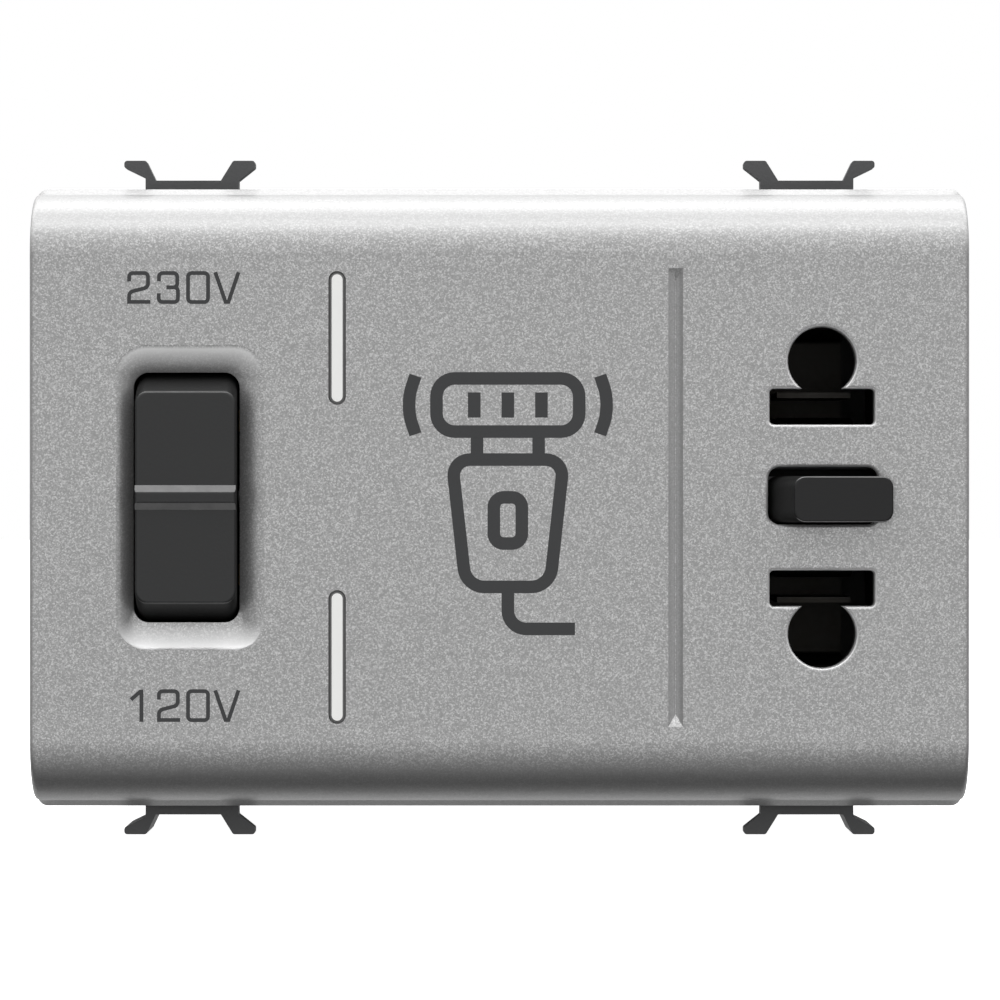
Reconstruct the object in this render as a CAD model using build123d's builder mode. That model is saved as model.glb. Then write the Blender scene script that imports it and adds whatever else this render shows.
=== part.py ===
"""Shaver socket outlet with isolating transformer, three modules wide, for flush mounting.

Millimetres. The origin is the middle of the seat plane, where the back rim of the cover meets the
mounting frame. +X is to the right seen from the front, +Y goes into the wall, +Z is up.
"""

import os
from math import atan2, degrees, sqrt

from build123d import *

# Overall sizes
module_pitch = 22.4
module_count = 3
face_width = module_pitch * module_count
face_height = 44.8
cover_depth = 7.0

# Clearances
seat_gap = 0.1
run_gap = 0.2
bearing_gap = 0.05
press_gap = 0.02

# Front cover
cover_wall = 2.2
cover_side_wall = 1.6
cover_top_wall = 1.8
flat_height = 35.0
lip_depth = 1.0
lip_step = 0.45
lip_corner = 0.8
side_edge = 0.4
opening_edge = 0.25
front_y = -cover_depth
inner_y = front_y + cover_wall
cover_in_x = face_width / 2 - cover_side_wall
cover_in_z = face_height / 2 - cover_top_wall

# Rear housing
housing_wall = 1.6
housing_overlap = 2.0
housing_corner = 2.0
housing_rear_edge = 0.8
housing_x = cover_in_x - run_gap
housing_z = cover_in_z - run_gap
room_x = housing_x - housing_wall
room_z = housing_z - housing_wall

# Snap hooks that hold the cover on the housing
hook_x = 6.0
hook_width = 5.0
hook_thickness = 1.4
hook_end_y = 4.2
hook_nose = 1.9
hook_reach = 1.2

# Snap clips for the mounting frame, drawn about the middle of a clip
clip_x = 22.45
clip_front_y = 1.8
clip_thickness = 2.0
clip_neck = 3.4
clip_rise = 0.75
clip_top = face_height / 2 + clip_rise
clip_outer = 4.95
clip_outer_root = 2.65
clip_inner = 4.6
clip_inner_root = 2.1
wing_rise = 1.45
wing_tip = 1.6
wing_end = 0.5
wing_cut = 0.2
wing_round = 0.22
clip_wing = clip_top + wing_rise
deep_wing_y = 9.8
tongue_slot = 0.8
tongue_length = 14.0

# Selector opening and dish
rocker_x = -module_pitch
opening_width = 7.6
opening_height = 17.9
opening_corner = 1.1
dish_shift = 0.3
dish_width = 10.6
dish_height = 21.8
dish_corner = 2.1
dish_depth = 0.85

# Steps of the dish: share of its depth, then of its edge beside, below and above the opening
dish_steps = (
    (0.0, 0.0, 0.0, 0.0),
    (0.41, 0.53, 0.18, 0.58),
    (0.73, 0.80, 0.51, 0.83),
    (1.0, 1.0, 1.0, 1.0),
)

# Rocker
rocker_width = opening_width - 2 * run_gap
rocker_face_height = 15.0
rocker_pivot_depth = 3.8
rocker_pivot_y = front_y + rocker_pivot_depth
rocker_end_radius = opening_height / 2 - bearing_gap
rocker_skirt = 0.7
rocker_back_y = rocker_pivot_y - rocker_skirt
rocker_wall = 1.3
rocker_corner = 0.85
rocker_edge = 0.2
rib_base = 1.75
rib_top = 0.7
rib_height = 0.42
trunnion_radius = 0.8
trunnion_length = 1.5
cheek_radius = 1.7
rocker_face_y = rocker_pivot_y - sqrt(rocker_end_radius**2 - (rocker_face_height / 2) ** 2)

# Sprung plunger under the rocker
sleeve_radius = 1.9
plunger_bore = 1.15
sleeve_end_y = 0.2
bore_start_y = rocker_pivot_y - 1.4
plunger_radius = plunger_bore - seat_gap
plunger_back_y = -1.4
plunger_tip_y = 2.2
spring_wire = 0.3
spring_pitch = 0.75

# Selector body and its contacts
selector_half_x = 5.6
selector_half_z = 11.2
selector_wall = 1.2
selector_floor = 1.6
selector_front_y = inner_y + seat_gap
selector_back_y = 9.1
selector_floor_y = selector_back_y - selector_floor
seesaw_hinge_y = 3.0
seesaw_thickness = 0.6
seesaw_width = 4.0
seesaw_half_z = 6.6
knife_groove = 0.35
button_radius = 0.9
button_height = 0.5
button_z = 5.7
throw_gap = 1.1
strip = 0.4
tag_width = 1.6
tag_length = 1.6

# Socket block
block_right = room_x - run_gap
block_width = 15.8
block_left = block_right - block_width
block_half_z = 14.8
block_front_y = inner_y + seat_gap
block_back_y = 15.5
block_front_wall = 2.0
chamber_half_x = 4.5
chamber_low_z = 4.6
chamber_high_z = 13.0
lever_room_z = 2.05
ear_left = block_right - 2.1
ear_right = block_right + 1.2
ear_half_z = 5.0
ear_back_y = -housing_overlap - run_gap
lever_pivot_x = block_right - 0.4
lever_floor_y = 0.9
retainer_thickness = 1.5
retainer_y = block_back_y
retainer_back_y = retainer_y + retainer_thickness

# Insulating partition
partition_y = selector_back_y + seat_gap
partition_thickness = 1.6
shelf_gap = 0.6
partition_right = block_left - shelf_gap
partition_back_y = partition_y + partition_thickness
ledge_height = 1.2
ledge_thickness = 1.2

# Indicators
guide_x = rocker_x + 10.8
guide_z = 11.4
guide_width = 1.18
guide_length = 9.5
guide_fit = 0.03
guide_bevel = 0.2
flange_width = 3.4
flange_length = 12.0
flange_thickness = 0.9
flange_back_y = inner_y + flange_thickness
board_y = 1.0
board_thickness = 1.2
board_width = 7.6
board_half_z = 16.4
led_radius = 1.5
led_rim = 1.9
led_tip_y = flange_back_y + 0.3
resistor_radius = 0.9
resistor_length = 5.0
resistor_z = 4.6
lead_radius = 0.25
post_radius = 1.3
post_z = 15.0

# Pin openings and contacts
pin_inset = 10.53
pin_x = face_width / 2 - pin_inset
pin_z = 9.76
pin_hole = 2.44
blade_z = 6.5
blade_width = 7.5
blade_height = 2.55
blade_corner = 0.3
round_pin = 2.0
flat_pin = 0.75
contact_preload = 0.1
leaf_width = 5.4
leaf_start = 3.0
leaf_flare = 3.6
leaf_grip = 4.5
contact_bend = 0.8

# Long groove
groove_x = 12.6
groove_length = 32.8
groove_width = 1.06
groove_depth = 0.45
groove_end = 0.85

# Sensing lever, drawn about its bearing pin
slot_x = pin_x + 0.08
slot_z = 0.12
slot_width = 7.9
slot_height = 4.1
slot_corner = 0.83
slot_left = slot_x - slot_width / 2
slot_right = slot_x + slot_width / 2
lever_pivot_depth = 3.7
lever_pivot_y = front_y + lever_pivot_depth
lever_pin_radius = 0.6
lever_left_gap = 0.57
lever_right_gap = 0.22
lever_left_radius = sqrt((lever_pivot_x - slot_left - lever_left_gap) ** 2 + lever_pivot_depth**2)
lever_right_radius = sqrt((lever_pivot_x - slot_right + lever_right_gap) ** 2 + lever_pivot_depth**2)
lever_left_rise = 2.35
lever_right_rise = 0.9
lever_overhang = 1.0
lever_z = -0.13
lever_height = 3.28
lever_corner = 0.8
lever_edge = 0.15
lever_hub = 1.25
toe_length = 1.2
nose_radius = 0.6
spring_leaf = 0.2

# Microswitch
switch_left = block_left + 2.4
switch_width = 12.0
switch_height = 6.4
switch_half_z = 2.9
switch_y = lever_floor_y + 0.7
switch_back_y = switch_y + switch_height
switch_plunger_x = lever_pivot_x - 3.2
switch_plunger_width = 2.6
switch_plunger_half_z = 0.9
switch_pin_length = 3.4
switch_pin_pitch = 4.8
nose_drop = 1.0
nose_gap = 0.12

# Transformer, which sets the depth of the housing
core_gap = 0.4
core_clear = 2.0
core_headroom = 1.3
core_left = -room_x + core_gap
core_width = block_left - core_clear - core_left
core_x = core_left + core_width / 2
core_height = 2 * (room_z - core_headroom)
core_leg_width = core_width / 6
window_half_z = core_height / 2 - core_leg_width
core_stack = 18.0
bobbin_wall = 1.0
bobbin_gap = 0.2
bobbin_flange = 0.6
winding_build = 5.0
winding_gap = 0.3
coil_gap = 0.6
bobbin_half_y = core_stack / 2 + bobbin_gap + bobbin_wall + winding_build
core_mid_y = partition_back_y + coil_gap + bobbin_half_y
core_y = core_mid_y - core_stack / 2
core_back_y = core_mid_y + core_stack / 2
room_y = core_mid_y + bobbin_half_y + coil_gap
housing_depth = room_y + housing_wall
core_post = 2.2
core_post_inset = 2.8
cutout_width = 4.0
cutout_half_z = 4.5
cutout_depth = 3.5

# Supply terminals
terminal_x = pin_x - 0.9
terminal_z = 12.0
terminal_half = 4.0
terminal_length = 12.0
terminal_block_y = 19.4
terminal_block_half_z = room_z - run_gap
terminal_block_back_y = room_y - seat_gap
terminal_back_y = terminal_block_back_y - seat_gap
terminal_front_y = terminal_back_y - terminal_length
wire_hole = 1.7
wire_entry = 2.25
entry_funnel = 0.7
screw_radius = 1.25
screw_head = 2.3
screw_head_height = 1.6
screw_slot = 0.7
screw_access = 3.1


def facing(y):
    """Sketch plane at depth y that looks to the front, with X to the right and Z up."""
    return Plane.XZ.offset(-y)


def slab(x, y, z, mode=Mode.ADD):
    """Box between a low and a high value along each axis."""
    with Locations(((x[0] + x[1]) / 2, (y[0] + y[1]) / 2, (z[0] + z[1]) / 2)):
        Box(x[1] - x[0], y[1] - y[0], z[1] - z[0], mode=mode)


def keyhole(side, extra=0.0):
    """Pin opening for a round or a flat pin, above (1) or below (-1) the middle."""
    with Locations((pin_x, side * pin_z)):
        Circle(pin_hole + extra)
    with Locations((pin_x, side * blade_z)):
        RectangleRounded(blade_width + 2 * extra, blade_height + 2 * extra, blade_corner)


def shell_profile(depth, half_height):
    """Section of the cover: flat front, long edges that curve back as quarter ellipses."""
    rise = half_height - flat_height / 2
    with BuildLine() as section:
        EllipticalCenterArc((-lip_depth, flat_height / 2), depth, rise, 90, arc_size=90)
        Line((-lip_depth - depth, flat_height / 2), (-lip_depth - depth, -flat_height / 2))
        EllipticalCenterArc((-lip_depth, -flat_height / 2), depth, rise, 180, arc_size=90)
        Polyline(
            (-lip_depth, -half_height),
            (0, -half_height),
            (0, half_height),
            (-lip_depth, half_height),
        )
    make_face(section.edges())


# Front cover: curved shell with a thin lip at the back rim
with BuildPart() as front_cover:
    with BuildSketch(Plane.YZ):
        shell_profile(cover_depth - lip_depth, face_height / 2 - lip_step)
    extrude(amount=face_width / 2, both=True)
    side_edges = front_cover.faces().sort_by(Axis.X)[0].edges()
    side_edges += front_cover.faces().sort_by(Axis.X)[-1].edges()
    fillet(side_edges.filter_by_position(Axis.Y, front_y - 1, -lip_depth / 4), side_edge)
    with BuildSketch(facing(0)):
        RectangleRounded(face_width, face_height, lip_corner)
    extrude(amount=lip_depth, taper=degrees(atan2(lip_step, lip_depth)))
    with BuildSketch(Plane.YZ):
        shell_profile(-lip_depth - inner_y, cover_in_z)
    extrude(amount=cover_in_x, both=True, mode=Mode.SUBTRACT)
    # Dish and opening of the rocker
    dish_edge = (dish_height - opening_height) / 2
    for deep, beside, below, above in dish_steps:
        dish_low = below * dish_edge - dish_height / 2
        dish_high = dish_height / 2 - above * dish_edge
        with BuildSketch(facing(front_y + deep * dish_depth)):
            with Locations((rocker_x + (1 - beside) * dish_shift, (dish_low + dish_high) / 2)):
                RectangleRounded(
                    dish_width - beside * (dish_width - opening_width),
                    dish_high - dish_low,
                    dish_corner - beside * (dish_corner - opening_corner),
                )
    loft(mode=Mode.SUBTRACT)
    with BuildSketch(facing(inner_y)):
        with Locations((rocker_x, 0)):
            RectangleRounded(opening_width, opening_height, opening_corner)
    extrude(amount=cover_wall, mode=Mode.SUBTRACT)
    # Indicator slots
    with BuildSketch(facing(inner_y)):
        with Locations((guide_x, guide_z), (guide_x, -guide_z)):
            SlotOverall(guide_length + 2 * guide_fit, guide_width + 2 * guide_fit, rotation=90)
    extrude(amount=cover_wall, mode=Mode.SUBTRACT)
    # Long groove with sloped ends
    with BuildSketch(facing(front_y)):
        with Locations((groove_x, 0)):
            Rectangle(groove_width, groove_length)
    with BuildSketch(facing(front_y + groove_depth)):
        with Locations((groove_x, 0)):
            Rectangle(groove_width / 20, groove_length - 2 * groove_end)
    loft(ruled=True, mode=Mode.SUBTRACT)
    # Pin openings and lever slot with softened front edges
    with BuildSketch(facing(inner_y)):
        keyhole(1)
        keyhole(-1)
        with Locations((slot_x, slot_z)):
            RectangleRounded(slot_width, slot_height, slot_corner)
    extrude(amount=cover_wall, mode=Mode.SUBTRACT)
    front_edges = front_cover.edges().filter_by_position(Axis.Y, front_y - 0.01, front_y + 0.01)
    pin_edges = front_edges.filter_by_position(Axis.X, pin_x - blade_width, pin_x + blade_width)
    fillet(pin_edges, opening_edge)
    # Stops for the front edge of the housing
    for x in (-hook_x * 2.5, hook_x * 2.5):
        for z in (-1, 1):
            z_span = sorted((z * (room_z + seat_gap), z * (cover_in_z + seat_gap)))
            slab((x - 2, x + 2), (inner_y + run_gap, -housing_overlap - press_gap), z_span)
    # Snap hooks
    for x in (-hook_x, hook_x):
        with BuildSketch(Plane.YZ.offset(x - hook_width / 2)):
            for side in (1, -1):
                with BuildLine():
                    out_z = side * (room_z - run_gap)
                    in_z = out_z - side * hook_thickness
                    Polyline(
                        (inner_y - cover_wall / 3, in_z),
                        (hook_end_y, in_z),
                        (hook_end_y, out_z),
                        (hook_end_y - hook_nose / 2, out_z + side * hook_reach),
                        (hook_end_y - hook_nose, out_z + side * hook_reach),
                        (hook_end_y - hook_nose, out_z),
                        (inner_y - cover_wall / 3, out_z),
                        close=True,
                    )
                make_face()
        extrude(amount=hook_width)
front_cover.part.label = "front_cover"


def on_a_wing(corner):
    """Whether a corner of a clip's outline stands out on one of its wings."""
    return abs(corner.Y) > clip_top + wing_cut + run_gap


# Rear housing: deep tray with the snap clips on sprung tongues
with BuildPart() as rear_housing:
    with BuildSketch(facing(housing_depth)):
        RectangleRounded(2 * housing_x, 2 * housing_z, housing_corner)
    extrude(amount=housing_depth + housing_overlap)
    fillet(rear_housing.faces().sort_by(Axis.Y)[-1].edges(), housing_rear_edge)
    with BuildSketch(facing(room_y)):
        Rectangle(2 * room_x, 2 * room_z)
    extrude(amount=room_y + housing_overlap, mode=Mode.SUBTRACT)
    # Slots that free a tongue under each clip
    for x in (-clip_x, clip_x):
        for edge in (-clip_neck - tongue_slot, clip_neck + tongue_slot):
            slab(
                (x + edge - tongue_slot / 2, x + edge + tongue_slot / 2),
                (-housing_overlap - 1, tongue_length - housing_overlap),
                (-housing_z - 1, housing_z + 1),
                mode=Mode.SUBTRACT,
            )
    # Clips with two wings each; the outer wings below run deeper
    for x in (-1, 1):
        for z in (-1, 1):
            with BuildSketch(facing(clip_front_y + clip_thickness)) as clip:
                with BuildLine():
                    Polyline(
                        (x * (clip_x + clip_neck), z * (room_z + run_gap)),
                        (x * (clip_x + clip_neck), z * (clip_top + wing_cut)),
                        (x * (clip_x + clip_outer), z * (clip_wing - wing_end)),
                        (x * (clip_x + clip_outer), z * clip_wing),
                        (x * (clip_x + clip_outer - wing_tip), z * clip_wing),
                        (x * (clip_x + clip_outer_root), z * clip_top),
                        (x * (clip_x - clip_inner_root), z * clip_top),
                        (x * (clip_x - clip_inner + wing_tip), z * clip_wing),
                        (x * (clip_x - clip_inner), z * clip_wing),
                        (x * (clip_x - clip_inner), z * (clip_wing - wing_end)),
                        (x * (clip_x - clip_neck), z * clip_top),
                        (x * (clip_x - clip_neck), z * (room_z + run_gap)),
                        close=True,
                    )
                make_face()
                fillet(clip.vertices().filter_by(on_a_wing), wing_round)
            extrude(amount=clip_thickness)
        with BuildSketch(facing(deep_wing_y)) as deep_wing:
            with BuildLine():
                Polyline(
                    (x * (clip_x + clip_neck), -housing_z + run_gap),
                    (x * (clip_x + clip_neck), -clip_top - wing_cut),
                    (x * (clip_x + clip_outer), -clip_wing + wing_end),
                    (x * (clip_x + clip_outer), -clip_wing),
                    (x * (clip_x + clip_outer - wing_tip), -clip_wing),
                    (x * (clip_x + clip_outer_root), -clip_top),
                    (x * (clip_x + clip_outer_root), -housing_z + run_gap),
                    close=True,
                )
            make_face()
            fillet(deep_wing.vertices().filter_by(on_a_wing), wing_round)
        extrude(amount=deep_wing_y - clip_front_y)
    # Windows for the snap hooks of the cover
    for x in (-hook_x, hook_x):
        slab(
            (x - hook_width / 2 - run_gap, x + hook_width / 2 + run_gap),
            (hook_end_y - hook_nose - run_gap, hook_end_y + run_gap),
            (-housing_z - 1, housing_z + 1),
            mode=Mode.SUBTRACT,
        )
    # Wire entries and screw access holes
    with BuildSketch(facing(housing_depth)):
        with Locations((terminal_x, terminal_z), (terminal_x, -terminal_z)):
            Circle(wire_entry)
    extrude(amount=housing_wall, mode=Mode.SUBTRACT)
    with BuildSketch(facing(housing_depth)):
        with Locations((terminal_x, terminal_z), (terminal_x, -terminal_z)):
            Circle(wire_entry + entry_funnel)
    extrude(amount=entry_funnel, taper=45, mode=Mode.SUBTRACT)
    with BuildSketch(Plane.XY.offset(-housing_z)):
        with Locations((terminal_x, terminal_back_y - terminal_length / 2)):
            Circle(screw_access)
    extrude(amount=2 * housing_z, mode=Mode.SUBTRACT)
    # Ledges behind the partition and posts behind the transformer core
    for z in (-1, 1):
        slab(
            (core_left, partition_right - 1),
            (partition_back_y, partition_back_y + ledge_thickness),
            sorted((z * (room_z - ledge_height), z * (room_z + seat_gap))),
        )
    with BuildSketch(facing(room_y + seat_gap)):
        for x in (core_left + core_post_inset, core_left + core_width - core_post_inset):
            for z in (-1, 1):
                with Locations((x, z * (core_height / 2 - core_post_inset))):
                    Circle(core_post)
    extrude(amount=room_y + seat_gap - core_back_y - press_gap)
rear_housing.part.label = "rear_housing"

# Partition: shelf with posts for the indicator board, the core and the thermal cut-out
with BuildPart() as partition:
    slab(
        (-room_x + run_gap, partition_right),
        (partition_y, partition_back_y - press_gap),
        (-room_z + run_gap, room_z - run_gap),
    )
    with BuildSketch(facing(partition_y)):
        with Locations((guide_x, post_z), (guide_x, 0), (guide_x, -post_z)):
            Circle(post_radius)
    extrude(amount=partition_y - board_y - board_thickness - press_gap)
    with BuildSketch(facing(core_y - press_gap)):
        for x in (core_left + core_post_inset, core_left + core_width - core_post_inset):
            for z in (-1, 1):
                with Locations((x, z * (core_height / 2 - core_post_inset))):
                    Circle(core_post)
    extrude(amount=core_y - press_gap - partition_y)
    cutout_x = core_left + core_width - core_post_inset
    cutout_y = core_y - press_gap - cutout_depth
    slab((cutout_x - 1, cutout_x + 1), (partition_y, cutout_y - press_gap), (-1.5, 1.5))
partition.part.label = "partition"

# Light guides: clear bars with a flange behind the cover
with BuildPart() as upper_light_guide:
    with BuildSketch(facing(flange_back_y)):
        with Locations((guide_x, guide_z)):
            SlotOverall(guide_length, guide_width, rotation=90)
    extrude(amount=flange_thickness + cover_wall)
    chamfer(upper_light_guide.faces().sort_by(Axis.Y)[0].edges(), guide_bevel)
    with BuildSketch(facing(flange_back_y)):
        with Locations((guide_x, guide_z)):
            RectangleRounded(flange_width, flange_length, flange_width / 4)
    extrude(amount=flange_thickness - press_gap)
upper_light_guide.part.label = "upper_light_guide"

with BuildPart() as lower_light_guide:
    mirror(upper_light_guide.part, about=Plane.XY)
lower_light_guide.part.label = "lower_light_guide"

# Indicator board with a light and a resistor for each window
with BuildPart() as indicator_board:
    slab(
        (guide_x - board_width / 2, guide_x + board_width / 2),
        (board_y, board_y + board_thickness),
        (-board_half_z, board_half_z),
    )
indicator_board.part.label = "indicator_board"

with BuildPart() as upper_led:
    with BuildSketch(facing(board_y - press_gap)):
        with Locations((guide_x, guide_z)):
            Circle(led_rim)
    extrude(amount=led_rim / 2)
    with BuildSketch(facing(board_y - press_gap)):
        with Locations((guide_x, guide_z)):
            Circle(led_radius)
    extrude(amount=board_y - press_gap - led_tip_y - led_radius)
    with Locations((guide_x, led_tip_y + led_radius, guide_z)):
        Sphere(led_radius)
upper_led.part.label = "upper_led"

with BuildPart() as lower_led:
    mirror(upper_led.part, about=Plane.XY)
lower_led.part.label = "lower_led"

with BuildPart() as upper_resistor:
    resistor_y = board_y - press_gap - resistor_radius
    with BuildSketch(Plane.XY.offset(resistor_z - resistor_length / 2)):
        with Locations((guide_x, resistor_y)):
            Circle(resistor_radius)
    extrude(amount=resistor_length)
    chamfer(upper_resistor.edges(), resistor_radius / 4)
    lead_end = resistor_length / 2 + 1
    with BuildSketch(Plane.XY.offset(resistor_z - lead_end)):
        with Locations((guide_x, resistor_y)):
            Circle(lead_radius)
    extrude(amount=2 * lead_end)
    with BuildSketch(facing(board_y - press_gap)):
        for end in (-lead_end, lead_end):
            with Locations((guide_x, resistor_z + end)):
                Circle(lead_radius)
    extrude(amount=resistor_radius + lead_radius)
upper_resistor.part.label = "upper_resistor"

with BuildPart() as lower_resistor:
    mirror(upper_resistor.part, about=Plane.XY)
lower_resistor.part.label = "lower_resistor"

# Rocker: shell whose ends are arcs about its own trunnions, with a rib across the middle
with BuildPart() as rocker:
    back_z = sqrt(rocker_end_radius**2 - (rocker_back_y - rocker_pivot_y) ** 2)
    with BuildSketch(Plane.YZ.offset(rocker_x)):
        with BuildLine():
            Line((rocker_face_y, -rocker_face_height / 2), (rocker_face_y, rocker_face_height / 2))
            RadiusArc((rocker_face_y, rocker_face_height / 2), (rocker_back_y, back_z), rocker_end_radius)
            Line((rocker_back_y, back_z), (rocker_back_y, -back_z))
            RadiusArc((rocker_back_y, -back_z), (rocker_face_y, -rocker_face_height / 2), rocker_end_radius)
        make_face()
    extrude(amount=rocker_width / 2, both=True)
    fillet(rocker.edges().filter_by(GeomType.CIRCLE), rocker_corner)
    fillet(rocker.faces().sort_by(Axis.Y)[0].edges(), rocker_edge)
    # Hollow from behind
    inner_radius = rocker_end_radius - rocker_wall
    with BuildSketch(Plane.YZ.offset(rocker_x)):
        with Locations((rocker_pivot_y, 0)):
            Circle(inner_radius)
        hollow_y = rocker_face_y + rocker_wall
        with Locations(((hollow_y + rocker_back_y) / 2, 0)):
            Rectangle(rocker_back_y - hollow_y, 2 * rocker_end_radius, mode=Mode.INTERSECT)
    extrude(amount=rocker_width / 2 - rocker_wall, both=True, mode=Mode.SUBTRACT)
    # Rib
    with BuildSketch(Plane.YZ.offset(rocker_x)):
        with BuildLine():
            Polyline(
                (rocker_face_y + rocker_edge, -rib_base / 2),
                (rocker_face_y, -rib_base / 2),
                (rocker_face_y - rib_height, -rib_top / 2),
                (rocker_face_y - rib_height, rib_top / 2),
                (rocker_face_y, rib_base / 2),
                (rocker_face_y + rocker_edge, rib_base / 2),
                close=True,
            )
        make_face()
    extrude(amount=rocker_width / 2, both=True)
    rib_face = rocker.faces().sort_by(Axis.Y)[0]
    fillet(rib_face.edges(), rocker_edge)
    # Cheeks and trunnions
    with BuildSketch(Plane.YZ.offset(rocker_x)):
        with Locations((rocker_pivot_y, 0)):
            Circle(cheek_radius)
        with Locations((rocker_pivot_y - cheek_radius, 0)):
            Rectangle(2 * cheek_radius, 2 * cheek_radius)
    extrude(amount=rocker_width / 2, both=True)
    with BuildSketch(Plane.YZ.offset(rocker_x)):
        with Locations((rocker_pivot_y, 0)):
            Circle(trunnion_radius)
    extrude(amount=rocker_width / 2 + trunnion_length, both=True)
    # Sleeve for the plunger
    with BuildSketch(facing(sleeve_end_y)):
        with Locations((rocker_x, 0)):
            Circle(sleeve_radius)
    extrude(amount=sleeve_end_y - hollow_y)
    with BuildSketch(facing(sleeve_end_y)):
        with Locations((rocker_x, 0)):
            Circle(plunger_bore)
    extrude(amount=sleeve_end_y - bore_start_y, mode=Mode.SUBTRACT)
rocker.part.label = "rocker"

# Plunger with a round nose, and its spring
with BuildPart() as rocker_plunger:
    with BuildSketch(facing(plunger_tip_y - plunger_radius)):
        with Locations((rocker_x, 0)):
            Circle(plunger_radius)
    extrude(amount=plunger_tip_y - plunger_radius - plunger_back_y)
    with Locations((rocker_x, plunger_tip_y - plunger_radius, 0)):
        Sphere(plunger_radius)
rocker_plunger.part.label = "rocker_plunger"

with BuildPart() as plunger_spring:
    coil_radius = plunger_radius - spring_wire / 2
    coil_start_y = bore_start_y + spring_wire / 2 + press_gap
    coil_length = plunger_back_y - spring_wire / 2 - press_gap - coil_start_y
    with BuildLine():
        coil = Helix(spring_pitch, coil_length, coil_radius, (rocker_x, coil_start_y, 0), (0, 1, 0))
    with BuildSketch(Plane(origin=coil @ 0, z_dir=coil % 0)):
        RegularPolygon(spring_wire / 2, 6)
    sweep(path=coil, is_frenet=True)
plunger_spring.part.label = "plunger_spring"

# Selector body: open box that bears the rocker and carries the selector contacts
with BuildPart() as selector_body:
    slab(
        (rocker_x - selector_half_x, rocker_x + selector_half_x),
        (selector_front_y, selector_back_y),
        (-selector_half_z, selector_half_z),
    )
    slab(
        (rocker_x - selector_half_x + selector_wall, rocker_x + selector_half_x - selector_wall),
        (selector_front_y - 1, selector_floor_y),
        (-selector_half_z + selector_wall, selector_half_z - selector_wall),
        mode=Mode.SUBTRACT,
    )
    with BuildSketch(Plane.YZ.offset(rocker_x)):
        with Locations((rocker_pivot_y, 0)):
            Circle(trunnion_radius + bearing_gap)
    extrude(amount=selector_half_x, both=True, mode=Mode.SUBTRACT)
    for z in (-button_z, 0, button_z):
        slab(
            (rocker_x + selector_half_x - selector_wall - 1, rocker_x + selector_half_x + 1),
            (selector_floor_y - strip - 2 * press_gap, selector_floor_y),
            (z - tag_width / 2 - press_gap, z + tag_width / 2 + press_gap),
            mode=Mode.SUBTRACT,
        )
selector_body.part.label = "selector_body"

# Tilting contact bridge
with BuildPart() as seesaw_contact:
    slab(
        (rocker_x - seesaw_width / 2, rocker_x + seesaw_width / 2),
        (seesaw_hinge_y - seesaw_thickness, seesaw_hinge_y),
        (-seesaw_half_z, seesaw_half_z),
    )
    with BuildSketch(facing(seesaw_hinge_y + button_height)):
        with Locations((rocker_x, button_z), (rocker_x, -button_z)):
            Circle(button_radius)
    extrude(amount=button_height)
    # Round groove that sits on the knife edge of the centre terminal
    with BuildSketch(Plane.YZ.offset(rocker_x)):
        with Locations((seesaw_hinge_y, 0)):
            Circle(knife_groove)
    extrude(amount=seesaw_width, both=True, mode=Mode.SUBTRACT)
seesaw_contact.part.label = "seesaw_contact"

# Selector terminals: strips on the floor of the selector body, each with a tag through its side
tag_end_x = rocker_x + selector_half_x + tag_length
strip_y = (selector_floor_y - strip - press_gap, selector_floor_y - press_gap)
with BuildPart() as selector_centre_terminal:
    slab((rocker_x - seesaw_width / 2, tag_end_x), strip_y, (-tag_width / 2, tag_width / 2))
    knife_radius = knife_groove - seat_gap
    with BuildSketch(Plane.YZ.offset(rocker_x)):
        with BuildLine():
            Polyline(
                (strip_y[1], -tag_width / 2),
                (seesaw_hinge_y, -knife_radius),
                (seesaw_hinge_y, knife_radius),
                (strip_y[1], tag_width / 2),
                close=True,
            )
        make_face()
        with Locations((seesaw_hinge_y, 0)):
            Circle(knife_radius)
    extrude(amount=seesaw_width / 2, both=True)
selector_centre_terminal.part.label = "selector_centre_terminal"

with BuildPart() as selector_upper_terminal:
    slab(
        (rocker_x - button_radius, tag_end_x),
        strip_y,
        (button_z - tag_width / 2, button_z + tag_width / 2),
    )
    with BuildSketch(facing(strip_y[1])):
        with Locations((rocker_x, button_z)):
            Circle(button_radius)
    extrude(amount=strip_y[1] - seesaw_hinge_y - button_height - throw_gap)
selector_upper_terminal.part.label = "selector_upper_terminal"

with BuildPart() as selector_lower_terminal:
    mirror(selector_upper_terminal.part, about=Plane.XY)
selector_lower_terminal.part.label = "selector_lower_terminal"

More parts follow.
